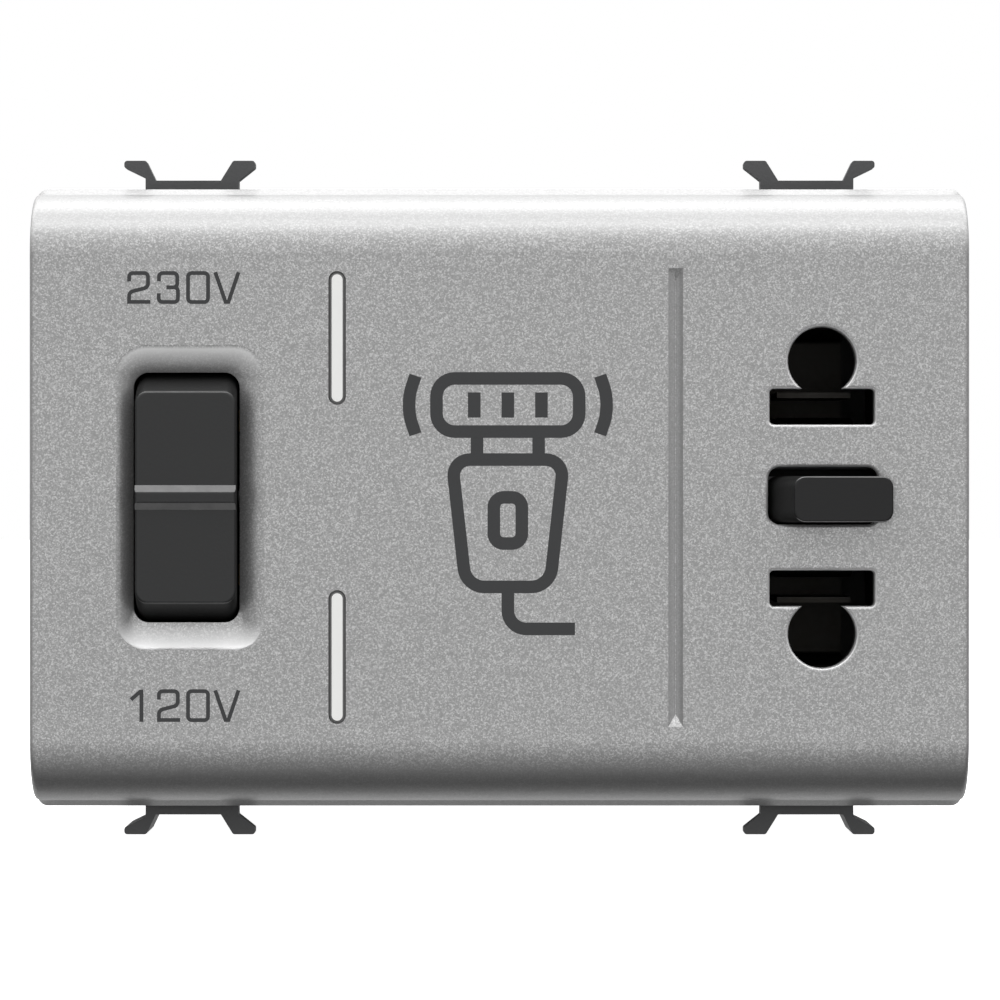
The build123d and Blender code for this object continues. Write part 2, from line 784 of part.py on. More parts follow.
# Socket block: two contact chambers behind the pin openings, with the lever room between them
with BuildPart() as socket_block:
    slab((block_left, block_right), (block_front_y, block_back_y), (-block_half_z, block_half_z))
    slab((ear_left, ear_right), (block_front_y, ear_back_y), (-ear_half_z, ear_half_z))
    for z in (-1, 1):
        slab(
            (pin_x - chamber_half_x, pin_x + chamber_half_x),
            (block_front_y + block_front_wall, block_back_y + 1),
            sorted((z * chamber_low_z, z * chamber_high_z)),
            mode=Mode.SUBTRACT,
        )
    with BuildSketch(facing(block_front_y + block_front_wall)):
        keyhole(1, seat_gap)
        keyhole(-1, seat_gap)
    extrude(amount=block_front_wall, mode=Mode.SUBTRACT)
    # Lever room, open to the right between the ears
    slab(
        (block_left + selector_wall, ear_right + 1),
        (block_front_y - 1, lever_floor_y),
        (-lever_room_z, lever_room_z),
        mode=Mode.SUBTRACT,
    )
    # Microswitch pocket, open to the back
    slab(
        (switch_left - seat_gap, switch_left + switch_width + seat_gap),
        (switch_y - seat_gap, block_back_y + 1),
        (-switch_half_z - seat_gap, switch_half_z + seat_gap),
        mode=Mode.SUBTRACT,
    )
    slab(
        (switch_plunger_x - switch_plunger_width, switch_plunger_x + switch_plunger_width),
        (lever_floor_y - 1, switch_y),
        (-lever_room_z, lever_room_z),
        mode=Mode.SUBTRACT,
    )
    # Bearing holes of the lever pin
    with BuildSketch(Plane.XY):
        with Locations((lever_pivot_x, lever_pivot_y)):
            Circle(lever_pin_radius + press_gap)
    extrude(amount=ear_half_z, both=True, mode=Mode.SUBTRACT)
socket_block.part.label = "socket_block"

# Contact retainer: back plate of the socket block, with posts behind the microswitch
with BuildPart() as contact_retainer:
    slab((block_left, block_right), (retainer_y, retainer_back_y), (-block_half_z, block_half_z))
    for z in (-1, 1):
        tag_z = z * (pin_z - 1)
        slab(
            (pin_x - tag_width / 2 - seat_gap, pin_x + tag_width / 2 + seat_gap),
            (retainer_y - 1, retainer_back_y + 1),
            (tag_z - strip / 2 - seat_gap, tag_z + strip / 2 + seat_gap),
            mode=Mode.SUBTRACT,
        )
    for x in (-switch_pin_pitch / 2, switch_pin_pitch / 2):
        mid = switch_left + switch_width / 2 + x
        slab((mid - 1, mid + 1), (switch_back_y + press_gap, retainer_y), (-2, 2))
contact_retainer.part.label = "contact_retainer"

# Pin contacts: three bowed leaves on one web, for a round pin above and a flat pin below
with BuildPart() as upper_contact:
    web_y = retainer_y - press_gap - strip / 2
    tip_y = block_front_y + block_front_wall + leaf_start
    bow_y = tip_y + leaf_flare
    bend_y = bow_y + leaf_grip
    top_z = pin_z + round_pin - contact_preload + strip / 2
    mid_z = (pin_z - round_pin + blade_z + flat_pin) / 2
    low_z = blade_z - flat_pin + contact_preload - strip / 2
    with BuildSketch(Plane.YZ.offset(pin_x)):
        with BuildLine():
            top_leaf = FilletPolyline(
                (web_y, mid_z),
                (web_y, top_z + 0.4),
                (bend_y, top_z + 0.4),
                (bow_y, top_z),
                (tip_y, top_z + 0.55),
                radius=contact_bend,
            )
        trace(top_leaf, line_width=strip)
        with BuildLine():
            low_leaf = FilletPolyline(
                (web_y, mid_z),
                (web_y, low_z - 0.4),
                (bend_y, low_z - 0.4),
                (bow_y, low_z),
                (tip_y, low_z - 0.5),
                radius=contact_bend,
            )
        trace(low_leaf, line_width=strip)
        with BuildLine():
            mid_leaf = Line((web_y, mid_z), (bow_y, mid_z))
        trace(mid_leaf, line_width=strip)
    extrude(amount=leaf_width / 2, both=True)
    # Solder tag through the retainer
    slab(
        (pin_x - tag_width / 2, pin_x + tag_width / 2),
        (web_y, retainer_back_y + 1.2),
        (pin_z - 1 - strip / 2, pin_z - 1 + strip / 2),
    )
upper_contact.part.label = "upper_contact"

with BuildPart() as lower_contact:
    mirror(upper_contact.part, about=Plane.XY)
lower_contact.part.label = "lower_contact"

# Sensing lever: both ends of the cap are arcs about the bearing pin
left_top_x = lever_pivot_x - sqrt(lever_left_radius**2 - (lever_pivot_y - front_y + lever_left_rise) ** 2)
right_top_x = slot_right + lever_overhang
right_under_y = lever_pivot_y - sqrt(lever_right_radius**2 - (lever_pivot_x - right_top_x) ** 2)
arm_y = inner_y + 2 * run_gap
arm_left_x = lever_pivot_x - sqrt(lever_left_radius**2 - (lever_pivot_y - arm_y) ** 2)
arm_right_x = lever_pivot_x - sqrt(lever_right_radius**2 - (lever_pivot_y - arm_y) ** 2)
nose_x = switch_plunger_x
nose_y = switch_y - nose_radius - nose_drop
arm_back_y = lever_pivot_y + 0.75
with BuildPart() as sensing_lever:
    with BuildSketch(Plane.XY.offset(lever_z)):
        with BuildLine():
            Polyline(
                (left_top_x, front_y - lever_left_rise),
                (right_top_x, front_y - lever_right_rise),
                (right_top_x, right_under_y),
            )
            RadiusArc((right_top_x, right_under_y), (arm_right_x, arm_y), lever_right_radius)
            Polyline(
                (arm_right_x, arm_y),
                (lever_pivot_x, arm_y),
                (lever_pivot_x, arm_back_y),
                (nose_x, arm_back_y),
                (arm_left_x - toe_length, arm_back_y),
                (arm_left_x - toe_length, arm_y),
                (arm_left_x, arm_y),
            )
            RadiusArc(
                (arm_left_x, arm_y), (left_top_x, front_y - lever_left_rise), -lever_left_radius
            )
        make_face()
    extrude(amount=lever_height / 2, both=True)
    left_edges = sensing_lever.edges().filter_by(GeomType.CIRCLE).sort_by(Axis.X)[:2]
    fillet(left_edges, lever_corner)
    # Rounded free end of the cap
    with BuildSketch(facing(front_y)):
        with Locations((right_top_x, lever_z)):
            Rectangle(2 * lever_corner, 2 * lever_height)
        with Locations(((left_top_x + right_top_x) / 2, lever_z)):
            RectangleRounded(right_top_x - left_top_x, lever_height, lever_corner, mode=Mode.SUBTRACT)
    extrude(amount=lever_left_rise, mode=Mode.SUBTRACT)
    cap_face = sensing_lever.faces().filter_by(GeomType.PLANE).sort_by(Axis.Y)[0]
    fillet(cap_face.edges(), lever_edge)
    # Hub, nose that works the switch, and bearing hole
    with BuildSketch(Plane.XY.offset(lever_z)):
        with Locations((lever_pivot_x, lever_pivot_y)):
            Circle(lever_hub)
        with Locations((nose_x, nose_y)):
            Circle(nose_radius)
        with Locations((nose_x, (nose_y + arm_back_y - 1) / 2)):
            Rectangle(2 * nose_radius, nose_y - arm_back_y + 1)
    extrude(amount=lever_height / 2, both=True)
    with BuildSketch(Plane.XY.offset(lever_z)):
        with Locations((lever_pivot_x, lever_pivot_y)):
            Circle(lever_pin_radius + bearing_gap)
    extrude(amount=lever_height, both=True, mode=Mode.SUBTRACT)
sensing_lever.part.label = "sensing_lever"

with BuildPart() as lever_pin:
    with BuildSketch(Plane.XY):
        with Locations((lever_pivot_x, lever_pivot_y)):
            Circle(lever_pin_radius)
    extrude(amount=ear_half_z - seat_gap, both=True)
    chamfer(lever_pin.edges().filter_by(GeomType.CIRCLE), lever_pin_radius / 4)
lever_pin.part.label = "lever_pin"

# Leaf spring that swings the lever out again
with BuildPart() as lever_spring:
    with BuildSketch(Plane.XY):
        with BuildLine():
            foot_x = block_left + selector_wall + 0.3
            leaf = FilletPolyline(
                (foot_x + 1.6, lever_floor_y - 0.15),
                (foot_x, lever_floor_y - 0.15),
                (foot_x, -1.2),
                (foot_x + 4.8, arm_back_y + spring_leaf),
                (foot_x + 5.6, arm_back_y + 2 * spring_leaf),
                radius=2 * spring_leaf,
            )
        trace(leaf, line_width=spring_leaf)
    extrude(amount=1.2, both=True)
lever_spring.part.label = "lever_spring"

# Microswitch that the lever works
with BuildPart() as microswitch_body:
    slab(
        (switch_left, switch_left + switch_width),
        (switch_y, switch_back_y),
        (-switch_half_z, switch_half_z),
    )
    slab(
        (
            switch_plunger_x - switch_plunger_width / 2 - seat_gap,
            switch_plunger_x + switch_plunger_width / 2 + seat_gap,
        ),
        (switch_y - 1, switch_y + 2),
        (-switch_plunger_half_z - seat_gap, switch_plunger_half_z + seat_gap),
        mode=Mode.SUBTRACT,
    )
microswitch_body.part.label = "microswitch_body"

with BuildPart() as microswitch_plunger:
    slab(
        (
            switch_plunger_x - switch_plunger_width / 2,
            switch_plunger_x + switch_plunger_width / 2,
        ),
        (nose_y + nose_radius + nose_gap, switch_y + 0.9),
        (-switch_plunger_half_z, switch_plunger_half_z),
    )
microswitch_plunger.part.label = "microswitch_plunger"

with BuildPart() as microswitch_terminals:
    for x in (-switch_pin_pitch, 0, switch_pin_pitch):
        mid = switch_left + switch_width / 2 + x
        slab(
            (mid - 0.45, mid + 0.45),
            (switch_back_y + press_gap, switch_back_y + switch_pin_length),
            (-0.25, 0.25),
        )
microswitch_terminals.part.label = "microswitch_terminals"

# Transformer: laminated core with two windows, sectioned bobbin and two windings
with BuildPart() as transformer_core:
    slab(
        (core_left, core_left + core_width),
        (core_y, core_back_y),
        (-core_height / 2, core_height / 2),
    )
    for side in (-1.5, 1.5):
        window_x = core_x + side * core_leg_width
        slab(
            (window_x - core_leg_width / 2, window_x + core_leg_width / 2),
            (core_y - 1, core_back_y + 1),
            (-window_half_z, window_half_z),
            mode=Mode.SUBTRACT,
        )
transformer_core.part.label = "transformer_core"

tube_x = core_leg_width + bobbin_gap
tube_y = core_stack / 2 + bobbin_gap
bobbin_half_z = window_half_z - bobbin_gap
bobbin_half_x = 2 * core_leg_width - bobbin_gap
with BuildPart() as bobbin:
    for z in (-bobbin_half_z, -bobbin_flange / 2, bobbin_half_z - bobbin_flange):
        slab(
            (core_x - bobbin_half_x, core_x + bobbin_half_x),
            (core_mid_y - bobbin_half_y, core_mid_y + bobbin_half_y),
            (z, z + bobbin_flange),
        )
    slab(
        (core_x - tube_x - bobbin_wall, core_x + tube_x + bobbin_wall),
        (core_mid_y - tube_y - bobbin_wall, core_mid_y + tube_y + bobbin_wall),
        (-bobbin_half_z, bobbin_half_z),
    )
    slab(
        (core_x - tube_x, core_x + tube_x),
        (core_mid_y - tube_y, core_mid_y + tube_y),
        (-core_height, core_height),
        mode=Mode.SUBTRACT,
    )
bobbin.part.label = "bobbin"

# Windings: rounded rings, the primary below the middle flange and the secondary above it
winding_z = bobbin_flange / 2 + seat_gap
winding_height = bobbin_half_z - bobbin_flange - seat_gap - winding_z
winding_x = tube_x + bobbin_wall + seat_gap
winding_y = tube_y + bobbin_wall + seat_gap
with BuildPart() as secondary_winding:
    with BuildSketch(Plane.XY.offset(winding_z)):
        with Locations((core_x, core_mid_y)):
            RectangleRounded(
                2 * (bobbin_half_x - winding_gap),
                2 * (bobbin_half_y - winding_gap),
                core_leg_width / 2,
            )
            Rectangle(2 * winding_x, 2 * winding_y, mode=Mode.SUBTRACT)
    extrude(amount=winding_height)
secondary_winding.part.label = "secondary_winding"

with BuildPart() as primary_winding:
    mirror(secondary_winding.part, about=Plane.XY)
primary_winding.part.label = "primary_winding"

# Thermal cut-out held against the core
with BuildPart() as thermal_cutout:
    slab(
        (cutout_x - cutout_width / 2, cutout_x + cutout_width / 2),
        (cutout_y, cutout_y + cutout_depth),
        (-cutout_half_z, cutout_half_z),
    )
    fillet(thermal_cutout.edges().filter_by(Axis.Z), 0.6)
thermal_cutout.part.label = "thermal_cutout"

# Terminal block: insulating tray with a pocket for each supply terminal
with BuildPart() as terminal_block:
    slab(
        (block_left + run_gap, block_right),
        (terminal_block_y, terminal_block_back_y),
        (-terminal_block_half_z, terminal_block_half_z),
    )
    slab(
        (block_left + run_gap + housing_wall, block_right - housing_wall),
        (terminal_block_y - 1, terminal_front_y - housing_wall - seat_gap),
        (-terminal_block_half_z + housing_wall, terminal_block_half_z - housing_wall),
        mode=Mode.SUBTRACT,
    )
    pocket = terminal_half + seat_gap
    for z in (-1, 1):
        slab(
            (terminal_x - pocket, terminal_x + pocket),
            (terminal_front_y - seat_gap, terminal_block_back_y + 1),
            sorted((z * (terminal_z - pocket), z * (terminal_z + pocket))),
            mode=Mode.SUBTRACT,
        )
    with BuildSketch(Plane.XY.offset(-terminal_block_half_z)):
        with Locations((terminal_x, terminal_back_y - terminal_length / 2)):
            Circle(screw_access)
    extrude(amount=terminal_block_half_z - terminal_z, mode=Mode.SUBTRACT)
    with BuildSketch(Plane.XY.offset(terminal_z)):
        with Locations((terminal_x, terminal_back_y - terminal_length / 2)):
            Circle(screw_access)
    extrude(amount=terminal_block_half_z - terminal_z, mode=Mode.SUBTRACT)
    # Ribs that reach the contact retainer
    for z in (-1, 1):
        slab(
            (block_left + run_gap, block_right),
            (retainer_back_y + press_gap, terminal_block_y),
            sorted((z * (block_half_z - housing_wall), z * block_half_z)),
        )
terminal_block.part.label = "terminal_block"

# Supply terminals: brass pillars with a wire hole and a clamping screw
with BuildPart() as line_terminal:
    slab(
        (terminal_x - terminal_half, terminal_x + terminal_half),
        (terminal_front_y, terminal_back_y),
        (terminal_z - terminal_half, terminal_z + terminal_half),
    )
    with BuildSketch(facing(terminal_back_y)):
        with Locations((terminal_x, terminal_z)):
            Circle(wire_hole)
    extrude(amount=terminal_length, mode=Mode.SUBTRACT)
    with BuildSketch(Plane.XY.offset(terminal_z)):
        with Locations((terminal_x, terminal_back_y - terminal_length / 2)):
            Circle(screw_radius + press_gap)
    extrude(amount=terminal_half, mode=Mode.SUBTRACT)
line_terminal.part.label = "line_terminal"

with BuildPart() as neutral_terminal:
    mirror(line_terminal.part, about=Plane.XY)
neutral_terminal.part.label = "neutral_terminal"

with BuildPart() as line_screw:
    screw_y = terminal_back_y - terminal_length / 2
    head_z = terminal_z + terminal_half + seat_gap
    with BuildSketch(Plane.XY.offset(terminal_z + wire_hole)):
        with Locations((terminal_x, screw_y)):
            Circle(screw_radius)
    extrude(amount=head_z - terminal_z - wire_hole)
    with BuildSketch(Plane.XY.offset(head_z)):
        with Locations((terminal_x, screw_y)):
            Circle(screw_head)
    extrude(amount=screw_head_height)
    chamfer(line_screw.faces().sort_by(Axis.Z)[-1].edges(), screw_head / 10)
    slab(
        (terminal_x - screw_head, terminal_x + screw_head),
        (screw_y - screw_slot / 2, screw_y + screw_slot / 2),
        (head_z + screw_head_height / 2, head_z + screw_head_height),
        mode=Mode.SUBTRACT,
    )
line_screw.part.label = "line_screw"

with BuildPart() as neutral_screw:
    mirror(line_screw.part, about=Plane.XY)
neutral_screw.part.label = "neutral_screw"

pieces = [
    front_cover,
    rear_housing,
    partition,
    upper_light_guide,
    lower_light_guide,
    indicator_board,
    upper_led,
    lower_led,
    upper_resistor,
    lower_resistor,
    rocker,
    rocker_plunger,
    plunger_spring,
    selector_body,
    seesaw_contact,
    selector_centre_terminal,
    selector_upper_terminal,
    selector_lower_terminal,
    socket_block,
    contact_retainer,
    upper_contact,
    lower_contact,
    sensing_lever,
    lever_pin,
    lever_spring,
    microswitch_body,
    microswitch_plunger,
    microswitch_terminals,
    transformer_core,
    bobbin,
    primary_winding,
    secondary_winding,
    thermal_cutout,
    terminal_block,
    line_terminal,
    neutral_terminal,
    line_screw,
    neutral_screw,
]

os.makedirs("parts", exist_ok=True)
for piece in pieces:
    export_step(piece.part, f"parts/{piece.part.label}.step")
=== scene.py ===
from math import pi, radians

import bmesh
import bpy
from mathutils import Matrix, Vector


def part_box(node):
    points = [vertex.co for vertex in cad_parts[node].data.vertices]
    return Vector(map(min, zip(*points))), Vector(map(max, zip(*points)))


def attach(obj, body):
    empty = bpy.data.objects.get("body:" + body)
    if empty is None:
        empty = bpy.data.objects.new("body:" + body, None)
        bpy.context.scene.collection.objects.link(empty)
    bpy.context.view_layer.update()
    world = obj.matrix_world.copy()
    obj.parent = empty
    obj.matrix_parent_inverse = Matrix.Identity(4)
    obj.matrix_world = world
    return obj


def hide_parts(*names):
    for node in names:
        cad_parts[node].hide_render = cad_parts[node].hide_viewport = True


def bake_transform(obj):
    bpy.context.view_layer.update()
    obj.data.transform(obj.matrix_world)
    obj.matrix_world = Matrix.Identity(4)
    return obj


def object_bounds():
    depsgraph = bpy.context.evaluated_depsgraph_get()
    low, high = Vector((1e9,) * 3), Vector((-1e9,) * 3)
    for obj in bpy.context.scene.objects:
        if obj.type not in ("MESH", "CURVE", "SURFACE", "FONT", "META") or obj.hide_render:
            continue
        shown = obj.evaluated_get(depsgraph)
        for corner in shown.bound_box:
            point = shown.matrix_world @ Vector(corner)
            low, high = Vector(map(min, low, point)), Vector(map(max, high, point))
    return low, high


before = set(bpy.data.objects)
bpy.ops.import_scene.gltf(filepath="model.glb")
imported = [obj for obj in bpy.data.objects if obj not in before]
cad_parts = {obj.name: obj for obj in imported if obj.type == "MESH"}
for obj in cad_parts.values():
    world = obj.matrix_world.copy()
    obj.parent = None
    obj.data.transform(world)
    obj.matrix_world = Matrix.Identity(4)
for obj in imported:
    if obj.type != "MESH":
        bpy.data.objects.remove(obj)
cad_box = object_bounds()


# The rear housing is a deep tray that carries the four snap clips on sprung tongues.
# It is moulded in one shot from dark grey flame-retardant plastic, and its outside keeps the
# fine grain of the spark-eroded tool.
def place(tree, kind, sockets=None, **options):
    """Adds a node to a tree, with its options and its unlinked sockets set."""
    node = tree.nodes.new(kind)
    for option, value in options.items():
        setattr(node, option, value)
    for socket, value in (sockets or {}).items():
        node.inputs[socket].default_value = value
    return node


def surface_group(name, inputs):
    """Starts a node group that turns named values into a colour, a roughness and a height."""
    tree = bpy.data.node_groups.new(name, "ShaderNodeTree")
    for socket, kind in inputs:
        tree.interface.new_socket(socket, in_out="INPUT", socket_type=kind)
    tree.interface.new_socket("Colour", in_out="OUTPUT", socket_type="NodeSocketColor")
    tree.interface.new_socket("Roughness", in_out="OUTPUT", socket_type="NodeSocketFloat")
    tree.interface.new_socket("Height", in_out="OUTPUT", socket_type="NodeSocketFloat")
    given = place(tree, "NodeGroupInput").outputs
    shown = place(tree, "NodeGroupOutput").inputs
    return tree, given, shown


moulded_grain, given, shown = surface_group(
    "Moulded Grain",
    [
        ("Colour", "NodeSocketColor"),
        ("Grain Scale", "NodeSocketFloat"),
        ("Mottle", "NodeSocketFloat"),
        ("Base Roughness", "NodeSocketFloat"),
    ],
)
link = moulded_grain.links.new
coords = place(moulded_grain, "ShaderNodeTexCoord").outputs["Object"]
grain = place(moulded_grain, "ShaderNodeTexNoise", {"Detail": 3.0, "Roughness": 0.6})
flow = place(moulded_grain, "ShaderNodeTexNoise", {"Scale": 110.0, "Detail": 4.0})
link(coords, grain.inputs["Vector"])
link(given["Grain Scale"], grain.inputs["Scale"])
link(coords, flow.inputs["Vector"])
noise_middle = 0.5
grain_roughness = 0.14
off_middle = place(moulded_grain, "ShaderNodeMath", {1: noise_middle}, operation="SUBTRACT")
shade = place(moulded_grain, "ShaderNodeMath", {2: 1.0}, operation="MULTIPLY_ADD")
tinted = place(moulded_grain, "ShaderNodeVectorMath", operation="SCALE")
rougher = place(moulded_grain, "ShaderNodeMath", {1: grain_roughness}, operation="MULTIPLY_ADD")
link(flow.outputs["Fac"], off_middle.inputs[0])
link(off_middle.outputs[0], shade.inputs[0])
link(given["Mottle"], shade.inputs[1])
link(given["Colour"], tinted.inputs["Vector"])
link(shade.outputs[0], tinted.inputs["Scale"])
link(grain.outputs["Fac"], rougher.inputs[0])
link(given["Base Roughness"], rougher.inputs[2])
link(tinted.outputs["Vector"], shown["Colour"])
link(rougher.outputs[0], shown["Roughness"])
link(grain.outputs["Fac"], shown["Height"])


def start_material(name, shader_values=None):
    """New node material with its tree and its shader, whose unlinked sockets are set."""
    material = bpy.data.materials.new(name)
    material.use_nodes = True
    shader = material.node_tree.nodes["Principled BSDF"]
    for socket, value in (shader_values or {}).items():
        shader.inputs[socket].default_value = value
    return material, material.node_tree, shader


def finish_from(name, surface, values, bump_height, shader_values=None):
    """Material whose colour, roughness and bump come from a surface group."""
    material, tree, shader = start_material(name, shader_values)
    link = tree.links.new
    effect = place(tree, "ShaderNodeGroup", values, node_tree=surface)
    relief = place(tree, "ShaderNodeBump", {"Strength": 0.6, "Distance": bump_height})
    link(effect.outputs["Colour"], shader.inputs["Base Color"])
    link(effect.outputs["Roughness"], shader.inputs["Roughness"])
    link(effect.outputs["Height"], relief.inputs["Height"])
    link(relief.outputs["Normal"], shader.inputs["Normal"])
    return material


def dress(material, *names):
    """Gives CAD nodes their material."""
    for name in names:
        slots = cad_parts[name].data.materials
        slots.clear()
        slots.append(material)


mm = 0.001
housing_plastic = finish_from(
    "housing_plastic",
    moulded_grain,
    {
        "Colour": (0.084, 0.085, 0.087, 1),
        "Grain Scale": 4200,
        "Mottle": 0.25,
        "Base Roughness": 0.42,
    },
    bump_height=0.04 * mm,
)
dress(housing_plastic, "rear_housing")

# The partition, the bobbin, the terminal tray and the two small plungers are mouldings in natural,
# undyed plastic, which lets a little light into its surface.
# They are made in polished tools, so they are smoother than the housing.
natural_plastic = finish_from(
    "natural_plastic",
    moulded_grain,
    {
        "Colour": (0.62, 0.60, 0.53, 1),
        "Grain Scale": 2600,
        "Mottle": 0.12,
        "Base Roughness": 0.36,
    },
    bump_height=0.02 * mm,
    shader_values={"Subsurface Weight": 0.15, "Subsurface Scale": mm},
)
dress(
    natural_plastic,
    "partition",
    "bobbin",
    "terminal_block",
    "rocker_plunger",
    "microswitch_plunger",
)

# The switch bodies, the socket block, its back plate and the thermal cut-out are dark insulating
# mouldings filled with mineral.
# The filler leaves a dull, slightly cloudy surface.
insulating_plastic = finish_from(
    "insulating_plastic",
    moulded_grain,
    {
        "Colour": (0.032, 0.032, 0.033, 1),
        "Grain Scale": 3000,
        "Mottle": 0.5,
        "Base Roughness": 0.5,
    },
    bump_height=0.03 * mm,
)
dress(
    insulating_plastic,
    "selector_body",
    "socket_block",
    "contact_retainer",
    "microswitch_body",
    "thermal_cutout",
)


# The transformer core is a stack of stamped steel sheets, pressed together and dipped in varnish.
# The edges of the sheets show as fine lines across the stack.
def fill_ramp(node, stops):
    """Gives a colour ramp its stops, each a place from 0 to 1 and a colour."""
    elements = node.color_ramp.elements
    while len(elements) < len(stops):
        elements.new(1.0)
    for element, (position, colour) in zip(elements, stops):
        element.position = position
        element.color = colour


sheet_thickness = 0.5 * mm
sheet_gap = sheet_thickness / 4
core_steel, tree, shader = start_material("core_steel", {"Metallic": 0.85})
link = tree.links.new
coords = place(tree, "ShaderNodeTexCoord").outputs["Object"]
depth = place(tree, "ShaderNodeSeparateXYZ")
sheets = place(tree, "ShaderNodeMath", {1: sheet_thickness}, operation="PINGPONG")
gaps = place(tree, "ShaderNodeMapRange", {"From Max": sheet_gap})
varnish = place(tree, "ShaderNodeTexNoise", {"Scale": 260.0, "Detail": 5.0})
steel_colours = place(tree, "ShaderNodeValToRGB")
fill_ramp(steel_colours, [(0.0, (0.012, 0.011, 0.010, 1)), (1.0, (0.20, 0.20, 0.21, 1))])
marked_tone = place(tree, "ShaderNodeMath", operation="MULTIPLY")
gloss = place(tree, "ShaderNodeMapRange", {"To Min": 0.28, "To Max": 0.55})
relief = place(tree, "ShaderNodeBump", {"Strength": 0.5, "Distance": 0.05 * mm})
link(coords, depth.inputs["Vector"])
link(depth.outputs["Y"], sheets.inputs[0])
link(sheets.outputs[0], gaps.inputs["Value"])
link(coords, varnish.inputs["Vector"])
link(gaps.outputs["Result"], marked_tone.inputs[0])
link(varnish.outputs["Fac"], marked_tone.inputs[1])
link(marked_tone.outputs[0], steel_colours.inputs["Fac"])
link(steel_colours.outputs["Color"], shader.inputs["Base Color"])
link(varnish.outputs["Fac"], gloss.inputs["Value"])
link(gloss.outputs["Result"], shader.inputs["Roughness"])
link(gaps.outputs["Result"], relief.inputs["Height"])
link(relief.outputs["Normal"], shader.inputs["Normal"])
dress(core_steel, "transformer_core")

# Each winding is a coil of enamelled wire under a few turns of yellow tape.
# The wire shows through the tape as fine rings round the bobbin.
wire_pitch = 0.45 * mm
winding_wrap, tree, shader = start_material("winding_wrap")
link = tree.links.new
coords = place(tree, "ShaderNodeTexCoord").outputs["Object"]
height = place(tree, "ShaderNodeSeparateXYZ")
turns = place(tree, "ShaderNodeMath", {1: wire_pitch}, operation="PINGPONG")
crowns = place(tree, "ShaderNodeMapRange", {"From Max": wire_pitch})
creases = place(tree, "ShaderNodeTexNoise", {"Scale": 420.0, "Detail": 5.0, "Distortion": 1.5})
tape_colours = place(tree, "ShaderNodeValToRGB")
fill_ramp(tape_colours, [(0.0, (0.30, 0.12, 0.015, 1)), (1.0, (0.72, 0.46, 0.07, 1))])
showing = place(tree, "ShaderNodeMath", operation="MULTIPLY")
gloss = place(tree, "ShaderNodeMapRange", {"To Min": 0.2, "To Max": 0.45})
relief = place(tree, "ShaderNodeBump", {"Strength": 0.6, "Distance": 0.08 * mm})
link(coords, height.inputs["Vector"])
link(height.outputs["Z"], turns.inputs[0])
link(turns.outputs[0], crowns.inputs["Value"])
link(coords, creases.inputs["Vector"])
link(crowns.outputs["Result"], showing.inputs[0])
link(creases.outputs["Fac"], showing.inputs[1])
link(showing.outputs[0], tape_colours.inputs["Fac"])
link(tape_colours.outputs["Color"], shader.inputs["Base Color"])
link(creases.outputs["Fac"], gloss.inputs["Value"])
link(gloss.outputs["Result"], shader.inputs["Roughness"])
link(showing.outputs[0], relief.inputs["Height"])
link(relief.outputs["Normal"], shader.inputs["Normal"])
dress(winding_wrap, "primary_winding", "secondary_winding")

# The supply terminals, the tilting contact and the selector strips are stamped or turned brass.
# Rolling leaves faint streaks in the strip, and the air dulls it in patches.
rolled_metal, given, shown = surface_group(
    "Rolled Metal",
    [
        ("Colour", "NodeSocketColor"),
        ("Dull Colour", "NodeSocketColor"),
        ("Streak Scale", "NodeSocketFloat"),
        ("Base Roughness", "NodeSocketFloat"),
    ],
)
link = rolled_metal.links.new
coords = place(rolled_metal, "ShaderNodeTexCoord").outputs["Object"]
along_strip = place(rolled_metal, "ShaderNodeMapping", {"Scale": (1.0, 0.08, 1.0)})
streaks = place(rolled_metal, "ShaderNodeTexNoise", {"Detail": 4.0, "Roughness": 0.7})
patches = place(rolled_metal, "ShaderNodeTexNoise", {"Scale": 320.0, "Detail": 5.0})
dulled = place(rolled_metal, "ShaderNodeMapRange", {"From Min": 0.45, "From Max": 0.75})
mixed = place(rolled_metal, "ShaderNodeMix", data_type="RGBA")
streak_roughness = 0.22
rougher = place(rolled_metal, "ShaderNodeMath", {1: streak_roughness}, operation="MULTIPLY_ADD")
link(coords, along_strip.inputs["Vector"])
link(along_strip.outputs["Vector"], streaks.inputs["Vector"])
link(given["Streak Scale"], streaks.inputs["Scale"])
link(coords, patches.inputs["Vector"])
link(patches.outputs["Fac"], dulled.inputs["Value"])
link(dulled.outputs["Result"], mixed.inputs[0])
link(given["Colour"], mixed.inputs[6])
link(given["Dull Colour"], mixed.inputs[7])
link(streaks.outputs["Fac"], rougher.inputs[0])
link(given["Base Roughness"], rougher.inputs[2])
link(mixed.outputs[2], shown["Colour"])
link(rougher.outputs[0], shown["Roughness"])
link(streaks.outputs["Fac"], shown["Height"])

brass = finish_from(
    "brass",
    rolled_metal,
    {
        "Colour": (0.46, 0.32, 0.125, 1),
        "Dull Colour": (0.22, 0.14, 0.055, 1),
        "Streak Scale": 5000,
        "Base Roughness": 0.2,
    },
    bump_height=0.01 * mm,
    shader_values={"Metallic": 1.0},
)
dress(
    brass,
    "line_terminal",
    "neutral_terminal",
    "seesaw_contact",
    "selector_centre_terminal",
    "selector_upper_terminal",
    "selector_lower_terminal",
)

# The terminal screws and the lever's bearing pin are zinc-plated steel.
# The plating is pale and slightly blue, with duller patches.
zinc_steel = finish_from(
    "zinc_steel",
    rolled_metal,
    {
        "Colour": (0.60, 0.61, 0.63, 1),
        "Dull Colour": (0.42, 0.43, 0.42, 1),
        "Streak Scale": 6000,
        "Base Roughness": 0.26,
    },
    bump_height=0.01 * mm,
    shader_values={"Metallic": 1.0},
)
dress(zinc_steel, "line_screw", "neutral_screw", "lever_pin")

